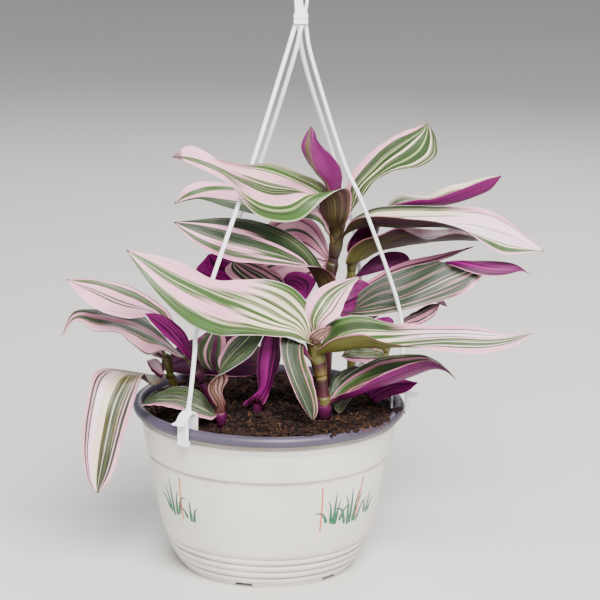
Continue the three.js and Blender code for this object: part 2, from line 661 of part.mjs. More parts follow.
function makeStrands() {
  for (const [name, strand] of Object.entries(STRANDS)) {
    const angle = THREE.MathUtils.degToRad(strand.bearing - 90);
    const footRadius = RIM_RADIUS - RIM_BEAD;
    const foot = [footRadius * Math.cos(angle), footRadius * Math.sin(angle), CLIP_CROWN + CLIP_WALL / 2];
    const top = [HUB.x + strand.top[0], HUB.y + strand.top[1], HUB.z - 2.5 * GAP];
    const cord = tube([foot, ...strand.through, top], STRAND_RADIUS, STRAND_SIDES, STRAND_STEPS);
    addPiece(name, geometryOf(solidOf(cord).add(clipSolid(strand.bearing))), FINISHES.hanger);
  }
}

// The plate over the hub: a long loop with a thick limb on the left and a thin one on the right.
function loopOutline() {
  const loop = new THREE.Shape();
  loop.moveTo(-3.6, 4);
  loop.lineTo(-4.8, LOOP_RISE / 2);
  loop.quadraticCurveTo(-LOOP_RADIUS, LOOP_RISE - 8, -LOOP_RADIUS, LOOP_RISE);
  loop.absarc(0, LOOP_RISE, LOOP_RADIUS, Math.PI, 0, true);
  loop.quadraticCurveTo(LOOP_RADIUS, LOOP_RISE - 10, 5.2, LOOP_RISE / 2 - 1);
  loop.lineTo(3.4, 4);
  loop.closePath();
  const eye = new THREE.Path();
  eye.moveTo(1.8, 9);
  eye.lineTo(3.6, LOOP_RISE / 2);
  eye.quadraticCurveTo(6, LOOP_RISE - 9, EYE_RADIUS + 1, LOOP_RISE);
  eye.absarc(1, LOOP_RISE, EYE_RADIUS, 0, Math.PI, false);
  eye.quadraticCurveTo(-3.6, LOOP_RISE - 8, 0.6, LOOP_RISE / 2);
  eye.closePath();
  loop.holes.push(eye);
  return loop;
}

// The hub takes the strands' tops and carries the loop that the pot hangs by.
function makeHub() {
  const plate = new THREE.ExtrudeGeometry(loopOutline(), { depth: LOOP_DEPTH, bevelEnabled: false });
  plate.translate(0, 0, -LOOP_DEPTH / 2).rotateX(Math.PI / 2);
  const block = new THREE.BoxGeometry(HUB_BLOCK.wide, HUB_BLOCK.deep, HUB_BLOCK.high);
  block.translate(0, 0, HUB_BLOCK.high / 2);
  const hub = geometryOf(solidOf(plate).add(solidOf(block)));
  addPiece("hanger_hub", hub.translate(HUB.x, HUB.y, HUB.z), FINISHES.hanger);
}

makePot();
makeSoil();
makeStems();
makeLeaves();
makeStrands();
makeHub();

export default part;
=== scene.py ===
"""Potted tradescantia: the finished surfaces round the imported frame.

Tables are in millimetres and meshes in metres, +Z up, and -Y is the front.
"""

import math
import random

import bmesh
import bpy
from mathutils import Matrix, Vector, noise


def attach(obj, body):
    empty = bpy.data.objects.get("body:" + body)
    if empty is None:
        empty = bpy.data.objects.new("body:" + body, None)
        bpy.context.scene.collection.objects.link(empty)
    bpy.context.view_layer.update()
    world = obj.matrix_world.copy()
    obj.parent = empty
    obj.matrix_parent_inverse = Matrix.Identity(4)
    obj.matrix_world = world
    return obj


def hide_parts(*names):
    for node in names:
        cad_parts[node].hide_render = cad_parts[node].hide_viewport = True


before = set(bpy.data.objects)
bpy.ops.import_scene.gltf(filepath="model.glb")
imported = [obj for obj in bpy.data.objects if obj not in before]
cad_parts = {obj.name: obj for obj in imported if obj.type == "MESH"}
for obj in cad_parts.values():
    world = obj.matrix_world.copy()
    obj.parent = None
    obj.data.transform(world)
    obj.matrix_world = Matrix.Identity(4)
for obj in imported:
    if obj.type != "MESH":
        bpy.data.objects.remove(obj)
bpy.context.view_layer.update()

MM = 0.001
BODY = "root"


# ---------- sizes shared with the frame's solids, in millimetres ----------

RIM_RADIUS = 90
RIM_BEAD = 3.6
RIM_HEIGHT = 107.5
COLLAR_FOOT = 78
BELLY_RADIUS = 68.5
RIB_TOP = 22.5
RIB_COUNT = 4
BASE_RADIUS = 57.5
FOOT_HEIGHT = 2.5
FLOOR_TOP = 4.6
FLOOR_UNDERSIDE = FLOOR_TOP - 1.6
PAD_RADIUS = 16
NOTCH_COUNT = 6
SOIL_EDGE = 106.5
SOIL_CROWN = 112
ROOT_DEPTH = 96
CLIP_WIDTH = 7.4
CLIP_WALL = 1.5
CLIP_CROWN = 121
STRAND_RADIUS = 1.5
HUB = Vector((17.2, 0.5, 359))  # the middle of the hub's foot


# ---------- small geometry helpers ----------


def lerp(a, b, t):
    return a + (b - a) * t


def polar(radius, angle):
    return radius * math.cos(angle), radius * math.sin(angle)


def turns(count):
    """Evenly spaced angles once round."""
    return [math.tau * i / count for i in range(count)]


def smooth(low, high, value):
    """0 below low, 1 above high, and an S-curve between them."""
    t = min(1, max(0, (value - low) / (high - low)))
    return t * t * (3 - 2 * t)


class Line:
    """A smooth curve through points, read by its share of the length."""

    SAMPLES = 24

    def __init__(self, points):
        points = [Vector(p) for p in points]
        knots = [2 * points[0] - points[1], *points, 2 * points[-1] - points[-2]]
        self.path = []
        for i in range(1, len(knots) - 2):
            for step in range(self.SAMPLES):
                self.path.append(self.blend(knots[i - 1 : i + 3], step / self.SAMPLES))
        self.path.append(points[-1])
        self.lengths = [0]
        for a, b in zip(self.path, self.path[1:]):
            self.lengths.append(self.lengths[-1] + (b - a).length)
        self.length = self.lengths[-1]

    @staticmethod
    def blend(four, t):
        a, b, c, d = four
        out = (c - a) * 0.5
        into = (d - b) * 0.5
        return b + out * t + (3 * (c - b) - 2 * out - into) * t * t + (2 * (b - c) + out + into) * t**3

    def at(self, share):
        goal = min(1, max(0, share)) * self.length
        i = 0
        while i < len(self.path) - 2 and self.lengths[i + 1] < goal:
            i += 1
        span = max(1e-9, self.lengths[i + 1] - self.lengths[i])
        return self.path[i].lerp(self.path[i + 1], (goal - self.lengths[i]) / span)

    def along(self, share):
        step = 0.01
        return (self.at(share + step) - self.at(share - step)).normalized()


def square_to(vector, along):
    """The vector made square to a direction, at length 1."""
    return (vector - along * vector.dot(along)).normalized()


def mixed(stops, t):
    """The value at t from 0 to 1 along evenly spaced stops."""
    if len(stops) == 1:
        return stops[0].copy()
    place = min(t, 0.9999) * (len(stops) - 1)  # short of the end, so that there is always a next stop
    step = int(place)
    return stops[step].lerp(stops[step + 1], place - step)


def add_part(vertices, faces, more, sides, place=None):
    """Adds a part's points and faces to the lists of a mesh, turned by a matrix if one is given."""
    first = len(vertices)
    vertices += more if place is None else [place @ point for point in more]
    faces += [tuple(first + index for index in face) for face in sides]


def mesh_piece(name, vertices, faces, materials, replaces=(), smooth_shading=True):
    """A piece from vertices in millimetres. It rides on the frame and stands for the named nodes."""
    mesh = bpy.data.meshes.new(name)
    mesh.from_pydata([Vector(v) * MM for v in vertices], [], faces)
    for material in materials:
        mesh.materials.append(material)
    if smooth_shading:
        mesh.shade_smooth()
    piece = bpy.data.objects.new(name, mesh)
    bpy.context.scene.collection.objects.link(piece)
    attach(piece, BODY)
    if replaces:
        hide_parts(*replaces)
    return piece


def sharpen(piece, degrees):
    """Edges that turn by more than this stay crisp."""
    bm = bmesh.new()
    bm.from_mesh(piece.data)
    limit = math.radians(degrees)
    for edge in bm.edges:
        if len(edge.link_faces) == 2 and edge.calc_face_angle() > limit:
            edge.smooth = False
    bm.to_mesh(piece.data)
    bm.free()


def grid_faces(rows, columns, first=0):
    """Quads between rings with the same count of points."""
    faces = []
    for j in range(rows - 1):
        for i in range(columns):
            k = (i + 1) % columns
            a = first + j * columns
            faces.append((a + i, a + k, a + columns + k, a + columns + i))
    return faces


def tube_faces(rows, sides, first=0):
    """The faces of a closed tube of rings: its wall and a face over each end."""
    last = first + (rows - 1) * sides
    ends = [tuple(reversed(range(first, first + sides))), tuple(range(last, last + sides))]
    return grid_faces(rows, sides, first) + ends


def ring_frame(line, share, hint):
    """Two directions square to a line at a share of its length. The first is nearest to the hint."""
    along = line.along(share)
    side = square_to(Vector(hint), along)
    return side, along.cross(side)


# ---------- materials ----------


class Value:
    """A socket in a material, with arithmetic that adds Math nodes."""

    def __init__(self, finish, socket):
        self.finish = finish
        self.socket = socket

    def math(self, operation, *others):
        inputs = {i: other for i, other in enumerate((self, *others))}
        return self.finish.node("ShaderNodeMath", {"operation": operation}, inputs)

    def __add__(self, other):
        return self.math("ADD", other)

    __radd__ = __add__

    def __sub__(self, other):
        return self.math("SUBTRACT", other)

    def __rsub__(self, other):
        return self.finish.node("ShaderNodeMath", {"operation": "SUBTRACT"}, {0: other, 1: self})

    def __mul__(self, other):
        return self.math("MULTIPLY", other)

    __rmul__ = __mul__

    def between(self, low, high):
        """0 below low and 1 above high, or the other way round where low is the larger."""
        settings = {"interpolation_type": "SMOOTHSTEP"}
        if low < high:
            return self.finish.node("ShaderNodeMapRange", settings, {"Value": self, 1: low, 2: high})
        return 1 - self.between(high, low)


class Finish:
    """A procedural material while it is made."""

    def __init__(self, name, roughness=0.5, **constants):
        self.material = bpy.data.materials.new(name)
        self.material.use_nodes = True
        self.tree = self.material.node_tree
        self.shader = self.tree.nodes["Principled BSDF"]
        self.shader.inputs["Roughness"].default_value = roughness
        for socket, value in constants.items():
            self.shader.inputs[socket.replace("_", " ")].default_value = value

    def node(self, kind, settings=None, inputs=None, output=0):
        node = self.tree.nodes.new(kind)
        for key, value in (settings or {}).items():
            if key == "stops":
                self.set_stops(node.color_ramp, value)
            else:
                setattr(node, key, value)
        for key, value in (inputs or {}).items():
            if isinstance(value, Value):
                self.tree.links.new(value.socket, node.inputs[key])
            else:
                node.inputs[key].default_value = value
        return Value(self, node.outputs[output])

    @staticmethod
    def set_stops(ramp, stops):
        while len(ramp.elements) < len(stops):
            ramp.elements.new(1)
        for element, (place, colour) in zip(ramp.elements, stops):
            element.position = place
            element.color = colour

    def place(self):
        """Where a point is on the object, in metres."""
        return self.node("ShaderNodeTexCoord", output="Object")

    def split(self, vector):
        parts = self.node("ShaderNodeSeparateXYZ", inputs={0: vector}).socket.node
        return [Value(self, socket) for socket in parts.outputs]

    def join(self, x, y, z):
        return self.node("ShaderNodeCombineXYZ", inputs={0: x, 1: y, 2: z})

    def grain(self, vector, scale, detail=3, roughness=0.5):
        inputs = {"Vector": vector, "Scale": scale, "Detail": detail, "Roughness": roughness}
        return self.node("ShaderNodeTexNoise", inputs=inputs)

    def cells(self, vector, scale):
        return self.node("ShaderNodeTexVoronoi", inputs={"Vector": vector, "Scale": scale}, output="Distance")

    def mix(self, first, second, factor, blend="MIX"):
        settings = {"data_type": "RGBA", "blend_type": blend}
        return self.node("ShaderNodeMix", settings, {0: factor, 6: first, 7: second}, output=2)

    def ramp(self, factor, stops):
        return self.node("ShaderNodeValToRGB", {"stops": stops}, {"Fac": factor})

    def feed(self, socket, value):
        self.tree.links.new(value.socket, self.shader.inputs[socket])

    def made(self, base, roughness, height, distance, strength):
        """The material, once its colour, any uneven roughness and its bumps are connected."""
        inputs = {"Height": height, "Distance": distance, "Strength": strength}
        self.feed("Base Color", base)
        if roughness is not None:
            self.feed("Roughness", roughness)
        self.feed("Normal", self.node("ShaderNodeBump", inputs=inputs))
        return self.material


def colour(red, green, blue):
    """A linear colour with alpha, from the usual 0 to 255 values."""
    def linear(value):
        value /= 255
        return value / 12.92 if value <= 0.04045 else ((value + 0.055) / 1.055) ** 2.4

    return (linear(red), linear(green), linear(blue), 1)


PINK = colour(233, 168, 190)
BLUSH = colour(246, 212, 224)
ROSE = colour(206, 128, 158)
CREAM = colour(228, 212, 184)
PALE_GREEN = colour(146, 168, 104)
LEAF_GREEN = colour(60, 92, 38)
DEEP_GREEN = colour(46, 68, 30)
DARK_GREEN = colour(32, 48, 24)
GREY_GREEN = colour(42, 56, 40)
MAGENTA = colour(82, 4, 62)
BRIGHT_MAGENTA = colour(134, 14, 108)
DARK_MAGENTA = colour(40, 3, 30)
VIVID = colour(100, 3, 80)
STEM_GREEN = colour(86, 84, 38)
BEIGE = colour(158, 118, 112)
OLIVE = colour(80, 72, 28)
OLIVE_BROWN = colour(52, 42, 20)
DARK_OLIVE = colour(30, 17, 14)
BROWN = colour(42, 18, 19)
MAROON = colour(62, 10, 24)
TAN = colour(112, 94, 48)
FUCHSIA = colour(124, 8, 100)
# A brighter magenta that paints light shining through leaves in the plant's shade.
PAINTED_GLOW_MAGENTA = colour(170, 18, 138)
PLUM = colour(60, 4, 46)
WINE = colour(66, 6, 40)
DARK_RUST = colour(56, 22, 20)
FAN_BROWN = colour(54, 30, 28)
VEIN = (0.34, 0.28, 0.3, 1)

SHADES = {
    "P": PINK,
    "B": BLUSH,
    "R": ROSE,
    "C": CREAM,
    "p": PALE_GREEN,
    "G": LEAF_GREEN,
    "D": DEEP_GREEN,
    "K": DARK_GREEN,
    "Y": GREY_GREEN,
    "M": MAGENTA,
    "O": OLIVE,
    "V": VIVID,
}


def band_stops(bands):
    """Ramp stops from a list such as "P6 G2 C1": each shade with its share of the blade's width."""
    parts = [(SHADES[word[0]], float(word[1:])) for word in bands.split()]
    total = sum(share for _, share in parts)
    soft = 0.007  # half the width of the blur between two bands
    stops = []
    place = 0
    for shade, share in parts:
        stops.append((min(1, place + soft), shade))
        place += share / total
        stops.append((max(0, place - soft), shade))
    stops[0] = (0, stops[0][1])
    stops[-1] = (1, stops[-1][1])
    return stops


def blade_streaks(finish, seed):
    """Across and along a blade or a stem, and a function that makes streaks.

    The function's scales are how often a streak changes across and along.
    """
    across, along, _ = finish.split(finish.node("ShaderNodeUVMap", {"uv_map": "blade"}))

    def streak(wide, long, offset=0, detail=2):
        return finish.grain(finish.join(across * wide, along * long, seed + offset), 1.0, detail)

    across = across + (streak(2, 3) - 0.5) * 0.05
    return across, along, streak


def upper_finish(name, leaf, seed):
    """The striped upper side: bands with frayed edges, thin pale and grey lines, veins and a pale margin."""
    finish = Finish(name, roughness=0.4)
    across, along, streak = blade_streaks(finish, seed)
    fray = streak(70, 2.2, 1) - 0.5
    frayed = across + fray * 0.028
    base = finish.ramp(frayed, band_stops(leaf.get("bands", PLAIN_BANDS)))
    if "tip_bands" in leaf:
        tip = finish.ramp(frayed, band_stops(leaf["tip_bands"]))
        start = leaf.get("tip_start", 0.52)
        base = finish.mix(base, tip, (along + fray * 0.3).between(start, start + 0.14))
    if "base_bands" in leaf:
        low = finish.ramp(frayed, band_stops(leaf["base_bands"]))
        base = finish.mix(base, low, (along + fray * 0.3).between(0.5, 0.37))
    red, green, blue = finish.split(base)
    not_magenta = green.between(0.003, 0.012)
    greenness = red.between(0.45, 0.2) * blue.between(0.15, 0.05) * not_magenta
    base = finish.mix(base, DARK_GREEN, streak(32, 0.8, 7).between(0.5, 0.62) * greenness * 0.55)
    pale = streak(70, 1, 3).between(0.6, 0.64)
    base = finish.mix(base, CREAM, pale * greenness * leaf.get("pale_lines", 0.5))
    base = finish.mix(base, GREY_GREEN, streak(40, 1.1, 11).between(0.65, 0.69) * not_magenta * 0.45)
    veins = streak(130, 1.5, 5)
    base = finish.mix(base, VEIN, veins.between(0.35, 0.7) * 0.3, "MULTIPLY")
    base = finish.mix(base, ROSE, streak(3, 7, 6, 3).between(0.5, 0.75) * 0.25, "MULTIPLY")
    margin = (across - 0.5).math("ABSOLUTE").between(0.486, 0.496)
    base = finish.mix(base, BLUSH, margin * 0.4)
    neck = leaf.get("neck", 0.1)
    base = finish.mix(base, OLIVE, along.between(neck, neck / 2 - 0.04) * 0.85)
    dry = leaf.get("dry_tip", 0.975)
    base = finish.mix(base, BROWN, along.between(dry, dry + 0.02) * 0.75)
    return finish.made(base, streak(9, 6, 0, 3) * 0.16 + 0.3, veins, 0.0005, 0.4)


def under_finish(name, main, pale, seed, neck_shade, neck=0.2):
    """The underside: deep colour with paler lengthwise streaks, and a ridged neck of another shade."""
    finish = Finish("underside_" + name, roughness=0.5, Specular_IOR_Level=0.22)
    across, along, streak = blade_streaks(finish, seed)
    base = finish.mix(main, pale, streak(16, 1, 0, 3).between(0.42, 0.66))
    base = finish.mix(base, DARK_MAGENTA, streak(9, 0.5, 4, 1).between(0.5, 0.56) * 0.8)
    veins = streak(90, 1.2, 2)
    base = finish.mix(base, VEIN, veins.between(0.38, 0.7) * 0.45, "MULTIPLY")
    ridges = finish.mix(neck_shade, DARK_OLIVE, veins.between(0.45, 0.62) * 0.7)
    ridges = finish.mix(ridges, STEM_GREEN, streak(45, 0.8, 6).between(0.52, 0.62) * 0.6)
    base = finish.mix(base, ridges, along.between(neck, 0.0))
    margin = (across - 0.5).math("ABSOLUTE").between(0.48, 0.494)
    base = finish.mix(base, ROSE, margin * 0.6)
    return finish.made(base, streak(9, 6, 0, 3) * 0.2 + 0.3, veins, 0.0005, 0.45)


# Each underside's main shade, its streaks, its seed, the shade of its neck and how far the neck reaches.
UNDERSIDE_SHADES = {
    "magenta": (MAGENTA, BRIGHT_MAGENTA, 21.0, OLIVE),
    "vivid": (VIVID, MAGENTA, 15.0, MAROON),
    "bright": (FUCHSIA, BRIGHT_MAGENTA, 27.0, MAROON),
    "green": (STEM_GREEN, OLIVE, 39.0, STEM_GREEN, 0.6),
    "dark": (DARK_MAGENTA, MAGENTA, 33.0, OLIVE),
    "olive": (DARK_OLIVE, OLIVE_BROWN, 45.0, OLIVE_BROWN, 0.28),
    # lit is painted light: the undersides of leaves in the plant's shade, brightened as if light shone
    # through them.
    "lit": (PAINTED_GLOW_MAGENTA, FUCHSIA, 63.0, MAROON),
    "fan": (FAN_BROWN, OLIVE_BROWN, 51.0, STEM_GREEN, 0.5),
    "plum": (PLUM, MAGENTA, 57.0, OLIVE_BROWN, 0.55),
    "beige": (BEIGE, OLIVE, 69.0, MAROON),
}
UNDERSIDES = {name: under_finish(name, *shades) for name, shades in UNDERSIDE_SHADES.items()}


def sheath_finish(name, low, high, line, seed):
    """The folded leaf base round a stem: from a low shade to a high one, with fine upright lines."""
    finish = Finish("sheath_" + name, roughness=0.4)
    _, along, streak = blade_streaks(finish, seed)
    base = finish.mix(low, high, along.between(-0.15, -0.02))
    lines = streak(60, 2)
    base = finish.mix(base, line, lines.between(0.5, 0.64) * 0.55)
    base = finish.mix(base, VEIN, streak(110, 2, 2).between(0.4, 0.7) * 0.3, "MULTIPLY")
    return finish.made(base, lines * 0.2 + 0.3, lines, 0.0005, 0.4)


# A sheath has the shade of its stem's kind, unless its leaf names another.
SHEATHS = {
    "green": sheath_finish("olive", STEM_GREEN, OLIVE, OLIVE_BROWN, 71.0),
    "red": sheath_finish("tan", TAN, STEM_GREEN, OLIVE_BROWN, 77.0),
    "magenta": sheath_finish("magenta", DARK_MAGENTA, MAGENTA, BROWN, 83.0),
    "ring": sheath_finish("ring", TAN, DARK_RUST, OLIVE_BROWN, 89.0),
    "brown": sheath_finish("brown", BROWN, OLIVE_BROWN, DARK_OLIVE, 95.0),
}


# ---------- stems ----------

# Each stem's radius, its kind, and the points it rises through. Its root is straight below the first.
STEMS = {
    "stem_tall": dict(radius=3.8, kind="brown", through=[
        (38, 22, 112), (39, 20, 150), (39, 19, 182), (43, 19, 212), (45, 18, 228)]),
    "stem_tall_right": dict(radius=3.4, kind="green", through=[
        (56, 38, 112), (55, 36, 150), (54, 34, 182), (55, 33, 208)]),
    "stem_right": dict(radius=3.2, kind="green", through=[(70, 10, 112), (75, 8, 132), (79, 8, 157)]),
    "stem_front": dict(radius=4.2, kind="red", through=[(36, -42, 112), (33, -41, 140), (28, -41, 160)]),
    "stem_left": dict(radius=3, kind="magenta", through=[(-36, -24, 112), (-44, -25, 130), (-52, -25, 148)]),
    "stem_left_short": dict(radius=2.6, kind="green", through=[
        (-60, -6, 112), (-65, -10, 130), (-68, -12, 144)]),
    "stem_low_front": dict(radius=3.2, kind="magenta", through=[(-30, -55, 108), (-31, -55, 118)]),
    "stem_rear": dict(radius=3.4, kind="brown", through=[(-4, 34, 112), (0, 31, 146), (2, 28, 176)]),
    "stem_middle": dict(radius=2.8, kind="magenta", through=[(-8, -32, 108), (-7, -32, 117)]),
}

# The shades up a stem of each kind, from the soil to its top.
STEM_SHADES = {
    "brown": [(0, DARK_MAGENTA), (0.2, MAROON), (0.6, BROWN), (0.95, BROWN), (1, OLIVE)],
    "red": [
        (0.25, MAROON), (0.31, MAGENTA), (0.39, BRIGHT_MAGENTA), (0.42, OLIVE), (0.46, MAROON), (0.61, BROWN),
        (0.64, TAN), (0.7, TAN), (0.72, MAROON), (0.79, MAROON), (0.82, OLIVE), (1, OLIVE)],
    "green": [(0, MAROON), (0.15, OLIVE), (0.4, STEM_GREEN), (1, STEM_GREEN)],
    "magenta": [(0, MAROON), (0.3, WINE), (0.7, MAGENTA), (1, MAROON)],
}
STEM_SIDES = 20
STEM_ROWS = 60


def stem_finish(name, shades, seed):
    finish = Finish(name, roughness=0.42)
    _, along, streak = blade_streaks(finish, seed)
    streaks = streak(30, 3, 0, 3)
    base = finish.mix(finish.ramp(along, shades), DARK_OLIVE, streaks.between(0.5, 0.72) * 0.45)
    base = finish.mix(base, MAROON, streak(3, 9, 2).between(0.52, 0.7) * 0.3)
    return finish.made(base, streaks * 0.2 + 0.32, streaks, 0.0005, 0.4)


def stem_line(name):
    points = STEMS[name]["through"]
    x, y, _ = points[0]
    return Line([(x, y, ROOT_DEPTH), *points])


STEM_LINES = {name: stem_line(name) for name in STEMS}


def add_blade_map(mesh, places):
    """The map of each corner's place across and along a blade or a stem."""
    layer = mesh.uv_layers.new(name="blade")
    for loop in mesh.loops:
        layer.data[loop.index].uv = places[loop.vertex_index]


def make_stem(name, nodes, material):
    """A round stem that swells where leaves leave it, at the given shares of its length."""
    line = STEM_LINES[name]
    radius = STEMS[name]["radius"]
    vertices, places = [], []
    for j in range(STEM_ROWS + 1):
        share = j / STEM_ROWS
        knot = max((math.exp(-(((share - node) * line.length / 2.2) ** 2)) for node in nodes), default=0)
        girth = radius * (0.87 + 0.1 * knot) * (1 - 0.25 * smooth(0.985, 1, share))
        side, front = ring_frame(line, share, (1, 0.3, 0))
        for i, angle in enumerate(turns(STEM_SIDES)):
            uneven = 1 + 0.03 * math.sin(2 * angle + 5 * share)
            out = side * math.cos(angle) + front * math.sin(angle)
            vertices.append(line.at(share) + out * girth * uneven)
            places.append((i / STEM_SIDES, share))
    faces = tube_faces(STEM_ROWS + 1, STEM_SIDES)
    piece = mesh_piece(name + "_skin", vertices, faces, [material], [name])
    add_blade_map(piece.data, places)
    sharpen(piece, 60)


# ---------- leaves ----------

# Where a leaf's upper side looks.
UP = (0, 0, 1)
FRONT_UP = (0, -0.6, 0.8)
FRONT = (0, -1, 0.1)
BACK_UP = (0, 0.4, 0.9)
BACK = (0, 0.9, 0.4)

